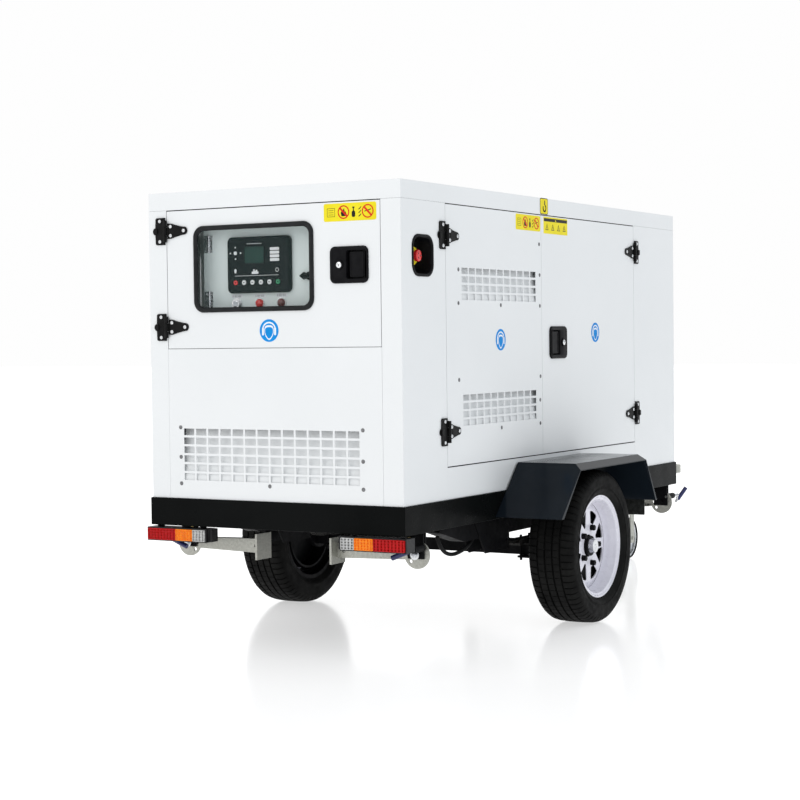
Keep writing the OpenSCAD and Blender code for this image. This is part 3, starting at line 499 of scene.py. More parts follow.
# Each pad's stations and heights
FRONT_PADS = ((1295, 1915, 140, 1000), (1085, 1285, 140, 462), (1085, 1285, 612, 1000))
REAR_PADS = ((336, 1034, 140, 226), (336, 1034, 384, 666), (336, 1034, 826, 1000))


def foam_pads():
    """Sound-proofing pads inside the side doors and under the roof."""
    for side, sign in SIDES.items():
        for end, pads in (("front", FRONT_PADS), ("rear", REAR_PADS)):
            b = Build()
            for s0, s1, z0, z1 in pads:
                b.use(on_side(sign, (s0 + s1) / 2, (z0 + z1) / 2, HALF_W - 24))
                b.prism(outline(s1 - s0, z1 - z0, 12), 0, 20)
            b.piece(f"foam_{end}_{side}", f"side_door_{end}_{side}", FOAM, bevel=3, slot="rubber_black")
    b = Build(facing(pt(LENGTH / 2, 0, WALL_H + 34), (1, 0, 0), (0, 1, 0)))
    b.prism(outline(LENGTH - 40, 2 * HALF_W - 60, 12), 0, 22)
    b.piece("foam_roof", "trailer", FOAM, bevel=3, slot="rubber_black")


foam_pads()


def strap_shape():
    """A strap that narrows from its root to a round tip."""
    shape = [(7, -27), (20, -27), (31, -24.5), (42, -21), (72, -14.5)]
    shape += [polar(14, a, 79) for a in range(-75, 76, 15)]
    return shape + [(72, 14.5), (42, 21), (31, 24.5), (20, 27), (7, 27)]


def strap(b):
    """The hinge's half on the door, with its pressed middle and middle barrel."""
    b.use(slot=0).prism(strap_shape(), 0, 4.2)
    b.prism([(30, -13), (64, -8), (64, 8), (30, 13)], 4.2, 5.2)
    knuckle(b, -13.5, 13.5)
    b.box((1, -13.5, 1), (12, 13.5, 7))
    b.use(slot=1)
    for x, y in ((22, 16), (22, -16), (79, 0)):
        screw(b, x, y, 6.6, 4.2)


def knuckle(b, y0, y1, r=7, cx=0, cz=8, sides=24):
    """A round barrel that lies along y."""
    b.loft([[(x, y, z) for x, z in circle(r, cx, cz, sides)] for y in (y0, y1)])


def hinge_plate(b):
    """The hinge's half on the post, with a lobe behind its pin and two barrels."""
    lobe = [polar(13, a, -44) for a in range(100, 261, 16)]
    shape = [(-4, 48), (-40, 48), (-45, 44)] + lobe + [(-45, -44), (-40, -48), (-4, -48)]
    b.use(slot=0).prism(shape, 0, 4.4)
    b.prism(outline(16, 22, 5, -43, 0), 4.4, 8.5)
    for y0, y1 in ((14.5, 38), (-38, -14.5)):
        knuckle(b, y0, y1)
        b.box((-12, y0, 1), (-1, y1, 7))
    b.use(slot=1)
    for y in (-36, 36):
        screw(b, -25, y, 6.6, 4.4)


def hinge(place, strap_build, plate_build):
    strap(strap_build.use(place))
    hinge_plate(plate_build.use(place))


plates = Build()
straps = Build()
for z in REAR_HINGE_ZS:
    hinge(on_rear(442, z, s=-0.2), straps, plates)
straps.piece("rear_door_straps", "rear_door", HINGE_BLACK, STEEL, bevel=0.9, slot="hinge_black",
             stands_for=("rear_door",))
for side, sign in SIDES.items():
    for end, s, d in (("rear", DOOR_S0 - 1, 1), ("front", DOOR_S1 + 1, -1)):
        straps = Build()
        for z in HINGE_ZS:
            hinge(flipped(on_side(sign, s, z, HALF_W + 0.2), -sign * d), straps, plates)
        door = f"side_door_{end}_{side}"
        straps.piece(f"{door}_straps", door, HINGE_BLACK, STEEL, bevel=0.9, slot="hinge_black",
                     stands_for=(door,))
plates.piece("hinge_plates", "trailer", HINGE_BLACK, STEEL, bevel=0.9, slot="hinge_black",
             stands_for=("hinge_bases",))

# -- latches --


POCKET_X, LOCK_X = -30, 36


def latch(place, where, body):
    """A sunk latch case with a finger pocket and a key lock, and its paddle."""
    b = Build(place)
    case, back = outline(150, 124, 20), outline(132, 106, 13)
    pocket = outline(78, 94, 7, POCKET_X)
    b.stack([(case, 0), (case, 4), (outline(146, 120, 18), 6.4), (outline(140, 114, 16), 7),
             (outline(84, 100, 9, POCKET_X), 7), (outline(80, 96, 8, POCKET_X), 6), (pocket, 4),
             (pocket, -21), (back, -21), (back, 0)], loop=True)
    b.prism(outline(80, 96, 7, POCKET_X), -24, -20.5)
    b.ring(circle(16, LOCK_X), circle(10.5, LOCK_X), 7, 11.5)
    b.ring(outline(128, 102, 10), outline(124, 98, 9), 7, 7.8)
    b.use(slot=1).lathe([(10.4, 6), (10.4, 11), (8.6, 12.2), (0.01, 12.2)], 24, cx=LOCK_X)
    b.use(slot=0).box((LOCK_X - 1, -5, 12.1), (LOCK_X + 1, 5, 12.5))
    b.piece(f"{where}_latch_case", body, LATCH_BLACK, CHROME, bevel=0.5, slot="latch_black",
            stands_for=(f"{where}_latch",))
    b = Build(place)
    b.prism(outline(54, 84, 5, -31), 0, 3.2)
    b.ring(outline(54, 84, 5, -31), outline(46, 76, 3, -31), 3.2, 4.6)
    knuckle(b, -38, 38, 5, -8, -3, 18)
    b.piece(f"{where}_latch_paddle", f"{where}_paddle", LATCH_BLACK, bevel=0.6, slot="latch_black",
            stands_for=(f"{where}_paddle",))


latch(flipped(on_rear(-320, 806, s=-0.2), -1), "rear", "rear_door")
for side, sign in SIDES.items():
    latch(flipped(on_side(sign, 1194, 536, HALF_W + 0.2), -sign), side, f"side_door_front_{side}")

# -- window and controls --

window = on_rear(72, 808)
WINDOW_W, WINDOW_H, PANE_INSET = 500, 303, 17.5
b = Build(window)
b.stack([(outline(WINDOW_W - 2 * i, WINDOW_H - 2 * i, 40 - 0.8 * i, steps=10), z) for i, z in (
    (0, 0), (0, 4.5), (1.5, 6.6), (4.5, 8), (11, 8), (14.5, 6.6), (17, 3.5), (17, -3.5), (13, -6),
    (9.2, -6), (9.2, 0))], loop=True)
b.piece("window_gasket", "rear_door", GASKET, slot="rubber_black", stands_for=("door_window",))
b = Build(window)
b.prism(outline(WINDOW_W - 2 * PANE_INSET, WINDOW_H - 2 * PANE_INSET, 26), -1.5, 1.5)
b.piece("window_pane", "rear_door", GLASS, slot="window_clear", stands_for=("door_window",))

# The panel's station, and where its key switch and lamps are
PANEL_S = 62
SWITCH_Y, LAMP_YS, LAMP_Z = 183, (86, -5), 686
ON_PANEL = {"stands_for": ("control_panel",)}
refined("control_box", [PANEL_WHITE], bevel=0.8, slot="panel_white")
refined("control_panel", [PANEL_WHITE], bevel=0.6, choose=sheets_only, slot="panel_white")
b = Build()
for y, tone in zip(LAMP_YS, (1, 2)):
    b.use(on_rear(y, LAMP_Z, PANEL_S), 0).ring(circle(20), circle(15), 0, 3.5)
    b.use(slot=tone).lathe([(15.5, 0), (15.5, 5), (14, 9), (10.5, 11.6), (5, 12.8), (0.01, 13)], 28)
b.use(on_rear(SWITCH_Y, LAMP_Z, PANEL_S), 0).ring(circle(21), circle(16.2), 0, 3)
b.piece("panel_lamps", "trailer", STEEL, RED, DARK_RED, bevel=0.4, slot="panel_white",
        **ON_PANEL)
b = Build()
for y in (SWITCH_Y, *LAMP_YS):
    b.use(on_rear(y, LAMP_Z + 26, PANEL_S), 0).prism(outline(46, 13, 2), 0, 0.5)
    b.use(slot=1)
    for k in range(5):
        b.box((-19 + 8 * k, -3.5, 0.5), (-19 + 8 * k + 3.5 + k % 2 * 2, 3.5, 0.7))
b.piece("panel_label_strips", "trailer", SIGN_WHITE, KEY_GREY, slot="panel_white",
        **ON_PANEL)
b = Build()
for z in (701, 898):
    b.use(on_rear(304, z, PANEL_S), 0).prism(outline(36, 60, 4), 0, 3)
    b.tube([(4, -31, 4), (4, 31, 4)], 4.5)
    b.use(slot=1)
    for x in (-10, 12):
        for y in (-20, 20):
            screw(b, x, y, 3.6, 3)
b.piece("panel_hinges", "trailer", ZINC, STEEL, bevel=0.5, slot="zinc_steel",
        **ON_PANEL)
b = Build(on_rear(-120, 776, PANEL_S))
b.lathe([(14, 0), (14, 5), (12, 8), (0.01, 8)], 28)
b.prism([(6, -5), (-16, -13), (-34, 0), (-16, 13), (6, 5)], 8, 15)
b.piece("panel_cam_latch", "trailer", LATCH_BLACK, bevel=0.8, slot="latch_black",
        **ON_PANEL)

face = on_rear(81, 820, PANEL_S)
KEYS_Z = 18.4
b = Build(face)
b.stack([(outline(262 - 2 * i, 196 - 2 * i, 18 - 0.6 * i, steps=8), z) for i, z in (
    (0, 0.2), (0, 14), (2.5, 18), (6, 20), (12, 20), (14, 18.6))])
b.piece("controller_case", "trailer", CONTROLLER, slot="controller_black", stands_for=("controller",))

b = Build(face)


def key(x, y, w, h, slot, lift=1.6):
    b.use(slot=slot).prism(outline(w, h, min(w, h) * 0.3, x, y), KEYS_Z, KEYS_Z + 0.2 + lift)


screen = outline(80, 56, 3, -15, 34)
b.use(slot=1).prism(screen, KEYS_Z, 19.2)
b.use(slot=2).ring(outline(88, 64, 5, -15, 34), screen, KEYS_Z, 20.2)
for k in range(4):
    key(71, 53 - 12.6 * k, 38, 10, 0)
key(-94, 42, 12, 12, 0)
for dx, dy in ((22, 0), (-22, 0), (0, 20), (0, -20)):
    key(-94 + dx, 42 + dy, 5, 5, 0, 0.6)
for k, tone in enumerate((3, 0, 0, 0, 0, 4)):
    x = -94 + 35.6 * k
    b.use(slot=tone).lathe([(8.4, KEYS_Z), (8.4, 20.6), (7, 21.6), (0.01, 21.8)], 24, cx=x, cy=-61)
    b.use(slot=2).box((x - 3, -62.4, 21.7), (x + 3, -59.6, 22.1))
b.use(slot=0).box((-96, -38.2, 18.5), (86, -37, 18.9))
b.prism([(-26, -32), (2, -32), (2, -24), (-3, -24), (-3, -18), (-9, -18), (-9, -22), (-14, -22),
         (-14, -16), (-19, -16), (-19, -24), (-26, -24)], 18.5, 18.9)
b.ring(circle(7, 80, -20, 20), circle(5.4, 80, -20, 20), 18.5, 18.9)
b.prism([(-98, -28), (-92, -28), (-90, -18), (-95, -12), (-100, -18)], 18.5, 18.9)
for k in range(9):
    b.box((-44 + 7 * k, 72, 18.5), (-44 + 7 * k + 4, 74.5, 18.8))
b.piece("controller_face", "trailer", KEY_WHITE, LCD, CONTROLLER, RED, GREEN_KEY,
        slot="controller_black", stands_for=("controller",))
refined("key_switch", [CHROME], bevel=0.5, slot="chrome_metal")

# -- emergency stop --

STOP = on_side(-1, 143, 835)
b = Build(STOP)
b.stack([(outline(w, h, r, steps=8), z) for w, h, r, z in (
    (146, 142, 42, 0.1), (146, 142, 42, 2), (143, 139, 41, 3.4), (131, 127, 36, 3.6),
    (124, 120, 33, 0), (120, 116, 31, -12), (116, 112, 29, -40), (108, 104, 26, -48.5),
    (112, 108, 26, -51.8), (128, 124, 33, -42), (128, 124, 33, 0.1))], loop=True)
b.prism(outline(109, 105, 26), -51.8, -48)
b.use(slot=1).lathe([(36, -48), (35, -45), (31, -36), (29, -34), (13, -34), (13, -48)], 40, loop=True)
b.piece("estop_recess_cup", "trailer", LATCH_BLACK, SIGN_YELLOW, bevel=0.4, slot="latch_black",
        stands_for=("estop_cup",))
b = Build(STOP)
b.lathe([(11, -56), (11, -27), (16.5, -26), (20, -24), (20.4, -18), (18.5, -13.6), (12, -12),
         (11, -13), (0.01, -13.4)], 40)
for k in range(3):
    turn = STOP @ Matrix.Rotation(math.radians(120 * k), 4, "Z")
    b.use(turn, 1).prism([(5, -1.2), (9.5, -1.2), (9.5, -3.6), (14, 0), (9.5, 3.6), (9.5, 1.2), (5, 1.2)],
                         -13.2, -11.9)
b.piece("estop_mushroom", "estop_button", RED, DARK_RED, slot="red_plastic",
        stands_for=("estop_button",))

# -- labels and fasteners --

LABEL_MATS = (SIGN_YELLOW, SIGN_BLACK, SIGN_RED)


def forbidden(b, x, r):
    """A red ring and slash, drawn over a black shape."""
    b.use(slot=2).ring(circle(r, x, sides=28), circle(r * 0.83, x, sides=28), 0.4, 0.95)
    c, w = r * 0.62, r * 0.1
    b.prism([(x - c - w, c - w), (x + c - w, -c - w), (x + c + w, w - c), (x - c + w, c + w)], 0.8, 0.98)


def flame(b, x, h):
    """A black flame."""
    b.use(slot=1).prism([(x + h * px, h * py) for px, py in (
        (-0.28, -0.5), (0.28, -0.5), (0.4, -0.15), (0.26, 0.12), (0.2, -0.05), (0.08, 0.5),
        (-0.08, 0.2), (-0.2, 0.05), (-0.24, 0.2), (-0.4, -0.1))], 0.4, 0.78)


def warning_label(place, w, h, name, body):
    """A note, a struck-out flame, a can, three drops and a struck-out bar, side by side."""
    b = Build(place)
    b.use(slot=0).prism(outline(w, h, 7), 0, 0.5)
    u = h / 66
    note, fire, can, bar = (share * w for share in (-0.36, -0.12, 0.07, 0.34))
    b.use(slot=1).ring(outline(34 * u, 32 * u, 1, note), outline(31 * u, 29 * u, 1, note), 0.5, 0.6)
    for k in range(3):
        b.box((note - 11 * u, (7 - 8 * k) * u, 0.5), (note + 11 * u, (8.5 - 8 * k) * u, 0.6))
    forbidden(b, fire, 25 * u)
    flame(b, fire, 30 * u)
    b.use(slot=1).prism(outline(15 * u, 24 * u, 7 * u, can, -8 * u), 0.5, 0.8)
    b.prism(outline(4 * u, 13 * u, 1 * u, can, 8 * u), 0.5, 0.8)
    b.prism(outline(10 * u, 5 * u, 2 * u, can, 16 * u), 0.5, 0.8)
    drop = ((0.175, -4), (0.2, 0), (0.215, 4), (0.215, 8), (0.2, 4), (0.175, 0), (0.16, -3))
    for k in range(3):
        b.prism([(x * w, (11 - 13 * k + y) * u) for x, y in drop], 0.5, 0.8)
    forbidden(b, bar, 25 * u)
    b.use(slot=1).prism([(bar + x * u, y * u) for x, y in ((-14, -2), (14, 5), (14, 8), (-14, 1))],
                        0.4, 0.78)
    b.piece(name, body, *LABEL_MATS, slot="canopy_white")


def caution_label(place, w, h, name, body):
    """A dark heading over four caution triangles."""
    b = Build(place)
    b.use(slot=0).prism(outline(w, h, 3), 0, 0.5)
    b.use(slot=1).box((-w / 2 + 3, h / 2 - 17, 0.5), (w / 2 - 3, h / 2 - 5, 0.62))
    b.use(slot=0)
    b.prism([(-5, h / 2 - 15), (5, h / 2 - 15), (0, h / 2 - 7)], 0.62, 0.7)
    b.use(slot=1)
    for k in range(4):
        x = -0.36 * w + 0.24 * w * k
        b.ring([(x - 13, -18), (x + 13, -18), (x, 6)], [(x - 9, -15.6), (x + 9, -15.6), (x, 1)], 0.5, 0.7)
        b.box((x - 1.2, -13, 0.5), (x + 1.2, -6, 0.7))
    b.piece(name, body, *LABEL_MATS, slot="canopy_white")


def hook_label(place, name):
    """A lifting hook in a black frame."""
    b = Build(place)
    b.use(slot=1).prism(outline(69, 62, 9), 0, 0.4)
    b.use(slot=0).prism(outline(63, 56, 7), 0.4, 0.6)
    hook = [Vector(polar(12, a, 4, -7)) for a in range(150, 421, 18)]
    b.use(slot=1)
    for p0, p1 in zip(hook, hook[1:]):
        along = (p1 - p0).normalized()
        over = Vector((-along.y, along.x)) * 3.2
        b.prism([tuple(p) for p in (p0 - over - along, p1 - over + along, p1 + over + along,
                                    p0 + over - along)], 0.6, 0.8)
    b.prism(outline(7, 18, 2, 6, 13), 0.6, 0.85)
    b.piece(name, "trailer", *LABEL_MATS, slot="canopy_white")


def ear_sticker(place, name, body):
    """A blue disc with a head in ear defenders."""
    b = Build(place)
    b.use(slot=0).prism(circle(39, sides=48), 0, 0.5)
    arc = [polar(1, a) for a in range(0, 181, 12)]
    b.use(slot=1).prism([(28 * x, 4 + 26 * y) for x, y in arc]
                        + [(23 * x, 4 + 21 * y) for x, y in arc[::-1]], 0.5, 0.7)
    for sign in (-1, 1):
        b.prism(outline(8, 27, 3.8, sign * 25, -3), 0.5, 0.8)
    b.prism([(-15, 15), (-8, 18), (8, 18), (15, 15), (19, 6), (19, -8), (14, -20), (7, -29), (0, -33),
             (-7, -29), (-14, -20), (-19, -8), (-19, 6)][::-1], 0.5, 0.65)
    b.use(slot=0).prism([(-13, 9), (-6, 12), (6, 12), (13, 9), (16.5, 5), (16.5, -7), (12, -17), (6, -25),
                         (0, -28), (-6, -25), (-12, -17), (-16.5, -7), (-16.5, 5)][::-1], 0.65, 0.78)
    b.piece(name, body, SIGN_BLUE, SIGN_WHITE, slot="canopy_white")


warning_label(on_rear(-324, 982), 206, 60, "rear_warning_label", "rear_door")
ear_sticker(on_rear(8, 590), "rear_ear_sticker", "rear_door")
for side, sign in SIDES.items():
    rear_body, front_body = f"side_door_rear_{side}", f"side_door_front_{side}"
    warning_label(on_side(sign, 946, 984), 207, 58, f"{side}_warning_label", rear_body)
    caution_label(on_side(sign, 1184, 982), 212, 63, f"{side}_caution_label", front_body)
    hook_label(on_side(sign, 1083, WALL_H + 32), f"{side}_hook_label")
    ear_sticker(on_side(sign, 712, 549), f"{side}_rear_ear_sticker", rear_body)
    ear_sticker(on_side(sign, 1547, 574), f"{side}_front_ear_sticker", front_body)
    b = Build()
    for s, z in ((395, 795), (393, 678), (716, 674), (1040, 675), (1040, 791), (1038, 907), (392, 411),
                 (1040, 409), (1036, 320), (1036, 232), (714, 230)):
        rivet(b.use(on_side(sign, s, z)))
    b.piece(f"{side}_door_rivets", rear_body, RIVET, slot="zinc_steel")
GRILLE_Y = 14
b = Build()
for y, z in ((378, 252), (378, 147), (378, 53), (-378, 252), (-378, 147), (-378, 53), (0, 53)):
    rivet(b.use(on_rear(GRILLE_Y + y, z)))
b.piece("rear_panel_rivets", "trailer", RIVET, slot="zinc_steel")

# -- tail lights --

# The lens edges to the side of the trailer's middle, their height and station
LIGHT_CUTS = (281.5, 335, 409, 531.5)
LIGHT_Z, LENS_S = -129.2, -21
refined("tail_light_housings", [LAMP_BLACK], bevel=1.2, slot="lamp_black")
b = Build()
for sign in (-1, 1):
    for k, (y0, y1) in enumerate(zip(LIGHT_CUTS, LIGHT_CUTS[1:])):
        place = on_rear(sign * (y0 + y1) / 2, LIGHT_Z, LENS_S)
        w = y1 - y0 - 0.8
        b.use(place, k).stack([(outline(w - 2 * i, 40.6 - 2 * i, 3, steps=3), z)
                               for i, z in ((0, -10.6), (0, -1.2), (1, 0))])
        cols = round(w / 13)
        for c in range(cols):
            for r in range(4):
                x = (c + 0.5) * w / cols - w / 2
                y = -14.4 + 9.6 * r
                b.use(slot=k + 3).lathe([(4.1, -0.1), (3.6, 0.0), (0.01, 0.0)], 12, cx=x, cy=y)
b.piece("tail_light_lens_blocks", "trailer", LENS_CLEAR, LENS_AMBER, LENS_RED,
        surface("led_clear", (0.80, 0.80, 0.79), (0.88, 0.88, 0.87), (0.1, 0.15), glow=0.1),
        surface("led_amber", (0.92, 0.36, 0.03), (0.96, 0.44, 0.06), (0.1, 0.15), specular=0.2, glow=0.3),
        surface("led_red", (0.62, 0.02, 0.02), (0.74, 0.04, 0.03), (0.1, 0.15), specular=0.2, glow=0.2),
        slot="lens", stands_for=("tail_light_lenses",))

# -- chassis, axle and springs --

for node, tone, bevel, slot in (
        ("chassis_rails", FRAME_BLACK, 1.5, "chassis_black"),
        ("drawbar", FRAME_BLACK, 1.5, "chassis_black"),
        ("axle_beam", FRAME_BLACK, 1.2, "chassis_black"),
        ("leg_brackets", FRAME_BLACK, 0.8, "chassis_black"),
        ("lifting_eye", FRAME_BLACK, 1.5, "chassis_black"),
        ("tow_eye", GALVANISED, 1.5, "galvanised"),
        ("mudguards", GUARD_BLACK, 1.2, "guard_black"),
        ("jockey_clamp", GALVANISED, 0.8, "zinc_steel"),
        ("jockey_tube", GALVANISED, 0.4, "zinc_steel"),
        ("jockey_fork", GALVANISED, 0.8, "zinc_steel"),
        ("engine_block", ENGINE_GREEN, 4.0, "engine_green"),
        ("alternator", ALTERNATOR, 3.0, "alternator_grey"),
        ("exhaust_silencer", SILENCER, 2.0, "silencer_steel"),
        ("radiator", CORE, 1.5, "core_aluminium"),
        ("battery", BATTERY, 3.0, "battery_black"),
        ("engine_fan", FAN, 0.8, "fan_plastic")):
    refined(node, [tone], bevel=bevel, slot=slot)


LEAVES, LEAF_STEP, SPRING_HALF, SPRING_Y = 4, 70, 290, 440


def spring_half(sign, end):
    """Half a stack of arched leaves, the longest on top, with a clip round them."""
    b = Build()
    y0 = sign * SPRING_Y
    for k in range(LEAVES):
        half = SPRING_HALF - LEAF_STEP * (LEAVES - 1 - k)
        z0 = WHEEL_Z + 4.5 + 7 * k
        rings = []
        for i in range(9):
            s = half * i / 8
            lift = 4.0 * (s / SPRING_HALF) ** 2
            thin = 1.7 if i == 8 and k < LEAVES - 1 else 3.1
            rings.append([(AXLE_S + end * s, y0 + y, z0 + lift + z) for y, z in (
                (-25, -thin), (25, -thin), (25, thin), (-25, thin))])
        b.loft(rings)
    b.loft([[(AXLE_S + end * 150 + d, y0 + y, WHEEL_Z + z)
             for y, z in ((-28, 7), (28, 7), (28, 33), (-28, 33))] for d in (-12, 12)])
    name = f"leaf_spring_{'left' if sign > 0 else 'right'}_{'front' if end > 0 else 'rear'}"
    made = b.piece(name, None, SPRING, bevel=0.8, slot="spring_steel", stands_for=("leaf_springs",))
    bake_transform(made)


for sign in (-1, 1):
    for end in (-1, 1):
        spring_half(sign, end)

# The hose's stations and its heights above the ground
HOSE = ((366, 388), (370, 378), (382, 359), (400, 341), (424, 326), (454, 317), (486, 314), (518, 316),
        (550, 321), (580, 329), (606, 339), (618, 347), (622.5, 353.5))
path = [Vector((s, -SPRING_Y, GROUND + z)) for s, z in HOSE]
fine = []
for i in range(len(path) - 1):
    p0, p1, p2, p3 = (path[max(i - 1, 0)], path[i], path[i + 1], path[min(i + 2, len(path) - 1)])
    for k in range(4):
        t = k / 4
        fine.append(0.5 * ((2 * p1) + (p2 - p0) * t + (2 * p0 - 5 * p1 + 4 * p2 - p3) * t * t
                           + (3 * p1 - p0 - 3 * p2 + p3) * t ** 3))
fine.append(path[-1])
b = Build().tube(fine, 7, 20)
b.piece("hose_under_chassis", "trailer", RUBBER, slot="rubber_black", stands_for=("underslung_hose",))

# A plate behind each mudguard's front end, with raised chevrons on both faces
b = Build()
for sign in (-1, 1):
    for s, d in ((1519, -1), (1525, 1)):
        b.use(end_wall(s, sign * 640, -121.5, -d))
        if d > 0:
            b.prism(outline(190, 61, 3), -5.4, -0.6)
        for col in range(12):
            for row in range(4):
                x, y = -84 + 15.2 * col, -22.5 + 15 * row
                tilt = 1 if (col + row) % 2 else -1
                b.prism([(x - 6, y - 5 * tilt - 1.4), (x - 4, y - 5 * tilt - 1.6),
                         (x + 6, y + 5 * tilt + 1.4), (x + 4, y + 5 * tilt + 1.6)], -0.8, 0)
b.piece("mudflap_plates", "trailer", FLAP, bevel=0.3, slot="rubber_black", stands_for=("mudflaps",))

# -- legs --

LEG_Y, LEG_Z = 477, -176
LEG_S = {"rear": 160, "front": LENGTH - 52}


def metal_or_grip(lo, hi):
    """A lock pin's cranked rod is metal and its short grip is blue."""
    return 0 if hi.x - lo.x > 0.075 else 1


for side in SIDES:
    for end in ("rear", "front"):
        refined(f"leg_{end}_{side}", [GALVANISED], bevel=1.0, slot="galvanised")
        refined(f"lock_pin_{end}_{side}", [ZINC, NAVY], choose=metal_or_grip, bevel=1.2, segments=3,
                angle=50, slot="zinc_steel")
b = Build()
for sign in SIDES.values():
    for end, d in (("rear", -1), ("front", 1)):
        b.use(end_wall(LEG_S[end] + 19 * d, sign * LEG_Y, LEG_Z, d), 0)
        b.lathe([(17, -0.6), (17, 1.2), (9, 1.2), (9, 8), (7.6, 9), (0.01, 9)], 24)
        b.use(end_wall(LEG_S[end] + 11 * d, sign * (LEG_Y - 22), LEG_Z + 52, d), 1)
        b.prism(circle(9.5, sides=6), 0, 6)
b.piece("leg_bolts", "trailer", ZINC, YELLOW_ZINC, bevel=0.6, slot="zinc_steel")

# -- wheels --

PITCHES = 68
# Each step's place in a pitch, with 1 in a cut across the ribs and 2 in a fine slit
SIPES = ((0.0, 0), (0.04, 1), (0.17, 1), (0.21, 0), (0.5, 0), (0.525, 2), (0.575, 2), (0.6, 0))
# Half of the tread from its shoulder to its middle: width, radius and kind of rib
CROWN = [(-92.4, 258, 0), (-91, 264, 0), (-87.5, 271, 1), (-81, 279.5, 2), (-72, 285.4, 2),
         (-60, 288, 2), (-49, 288.8, 2), (-48.4, 282, 0), (-42.2, 282, 0), (-41.6, 289.2, 3),
         (-30, 289.7, 3), (-18.9, 289.9, 3), (-18.3, 283, 0), (-12, 283, 0), (-11.4, TYRE_R, 4)]
WALL = [(92.5, 244), (92.3, 230), (90.6, 218), (91.0, 216.6), (89.8, 213), (86.2, 207), (82, 202),
        (79, 196.5), (76, 192), (70, 192), (72, 200), (82, 226), (84, 250), (76, 270), (50, 277)]


def tyre(side):
    """A carcass with four grooves, sipes across its ribs and notched shoulders."""
    place = on_side(SIDES[side], AXLE_S, WHEEL_Z, WHEEL_Y)
    crown = CROWN + [(-w, r, k) for w, r, k in reversed(CROWN)]
    rings = []
    for p in range(PITCHES):
        for at, cut in SIPES:
            ring = []
            for w, r, kind in crown:
                skew = 0.10 * (1 if w > 0 else -1) * (abs(w) - 48) / 44 if abs(w) > 48 else 0.0
                deep = 0.0
                if cut == 1 and kind in (1, 2):
                    deep = 5.2 if kind == 2 else 3.2
                if cut == 2 and kind in (3, 4):
                    deep = 2.6
                ring.append((*polar(r - deep, 360 * (p + at + skew) / PITCHES), w))
            x, y = polar(1, 360 * (p + at) / PITCHES)
            ring += [(r * x, r * y, w) for w, r in WALL]
            ring += [(r * x, r * y, -w) for w, r in reversed(WALL)]
            rings.append(ring)
    b = Build(place)
    b.loft(rings, loop=True)
    for r in (222, 240):
        b.lathe([(r - 0.9, 90.5), (r - 0.9, 92.9), (r + 0.9, 92.9), (r + 0.9, 90.5)], 96, loop=True)
    b.piece(f"tyre_{side}_treaded", f"wheel_{side}", TYRE, angle=28, slot="tyre",
            stands_for=(f"tyre_{side}",))


# Radius and height over the wheel's middle plane
BARREL = [(195, -76), (195, -72), (179, -71), (177, -52), (168, -42), (168, 16), (177, 36), (179, 71),
          (194, 72), (195, 75), (193, 77), (189, 77), (186.5, 75), (184, 71.5), (177, 70), (175.4, 67),
          (174.8, 50), (172.6, 47), (172, 38), (167, 24), (164.4, 19), (164, -40), (173, -50),
          (175, -74), (177, -76)]
DISC_EDGE = [(136, 24), (148, 18), (156, 12), (167.5, 12), (167.5, 18), (159, 18), (151, 24), (137, 30),
             (135, 30), (135, 24)]
DISC_Z0, DISC_Z1 = 27.4, 30
RIM_WINDOWS, NUTS, NUT_R = 8, 5, 70


def rim_window(turn):
    """One three-cornered opening in a rim's disc, with eased corners."""
    shape = [(72, -3), (72, 3), (74.5, 6.5), (120, 30), (125, 31), (129, 28), (133, 14), (134, 0),
             (133, -14), (129, -28), (125, -31), (120, -30), (74.5, -6.5)]
    c, s = polar(1, turn)
    return [(x * c - y * s, x * s + y * c) for x, y in shape]


def hub_tone(lo, hi):
    """Leaves out the disc and barrel, which are drawn below; 0 is black, 1 is the zinc cap."""
    size = hi.z - lo.z
    return None if size > 0.32 else 1 if 0.04 < size < 0.12 else 0


for side, sign in SIDES.items():
    tyre(side)
    refined(f"rim_{side}", [FRAME_BLACK, ZINC], choose=hub_tone, bevel=0.7, name=f"hub_{side}",
            slot="rim_white")
    b = Build(on_side(sign, AXLE_S, WHEEL_Z, WHEEL_Y))
    b.lathe(BARREL, 96, loop=True)
    b.lathe(DISC_EDGE, 96, loop=True)
    windows = [rim_window((k + 0.5) * 360 / RIM_WINDOWS) for k in range(RIM_WINDOWS)]
    b.plate(circle(135.4, sides=96), windows + [circle(42, sides=40)], DISC_Z0, DISC_Z1)
    for k in range(NUTS):
        x, y = polar(NUT_R, 360 * k / NUTS)
        b.lathe([(17, DISC_Z1 - 0.2), (15, DISC_Z1 + 1.6), (12, DISC_Z1 + 1.8), (11.2, DISC_Z1 - 0.2)],
                24, loop=True, cx=x, cy=y)
    rim = b.piece(f"rim_{side}_dished", f"wheel_{side}", RIM_WHITE, FRAME_BLACK, bevel=0.6,
                  slot="rim_white", stands_for=(f"rim_{side}",))
    # The faces on the side towards the chassis are made black as painted shade, so that the openings in
    # the disc look dark.
    for face in rim.data.polygons:
        if abs(face.center.y) < WHEEL_Y * MM:
            face.material_index = 1
    b = Build(on_side(sign, AXLE_S, WHEEL_Z, WHEEL_Y))
    b.lathe([(8, 58), (8, 60.4), (5.5, 61.4), (0.01, 61.4)], 24)
    x, y = polar(158, 200)
    b.use(slot=1).lathe([(4.2, 15), (4.2, 40), (2.6, 42), (0.01, 42)], 14, cx=x, cy=y)
    b.piece(f"hub_cap_and_valve_{side}", f"wheel_{side}", ZINC, RUBBER, slot="rim_white")

# -- jockey wheel --

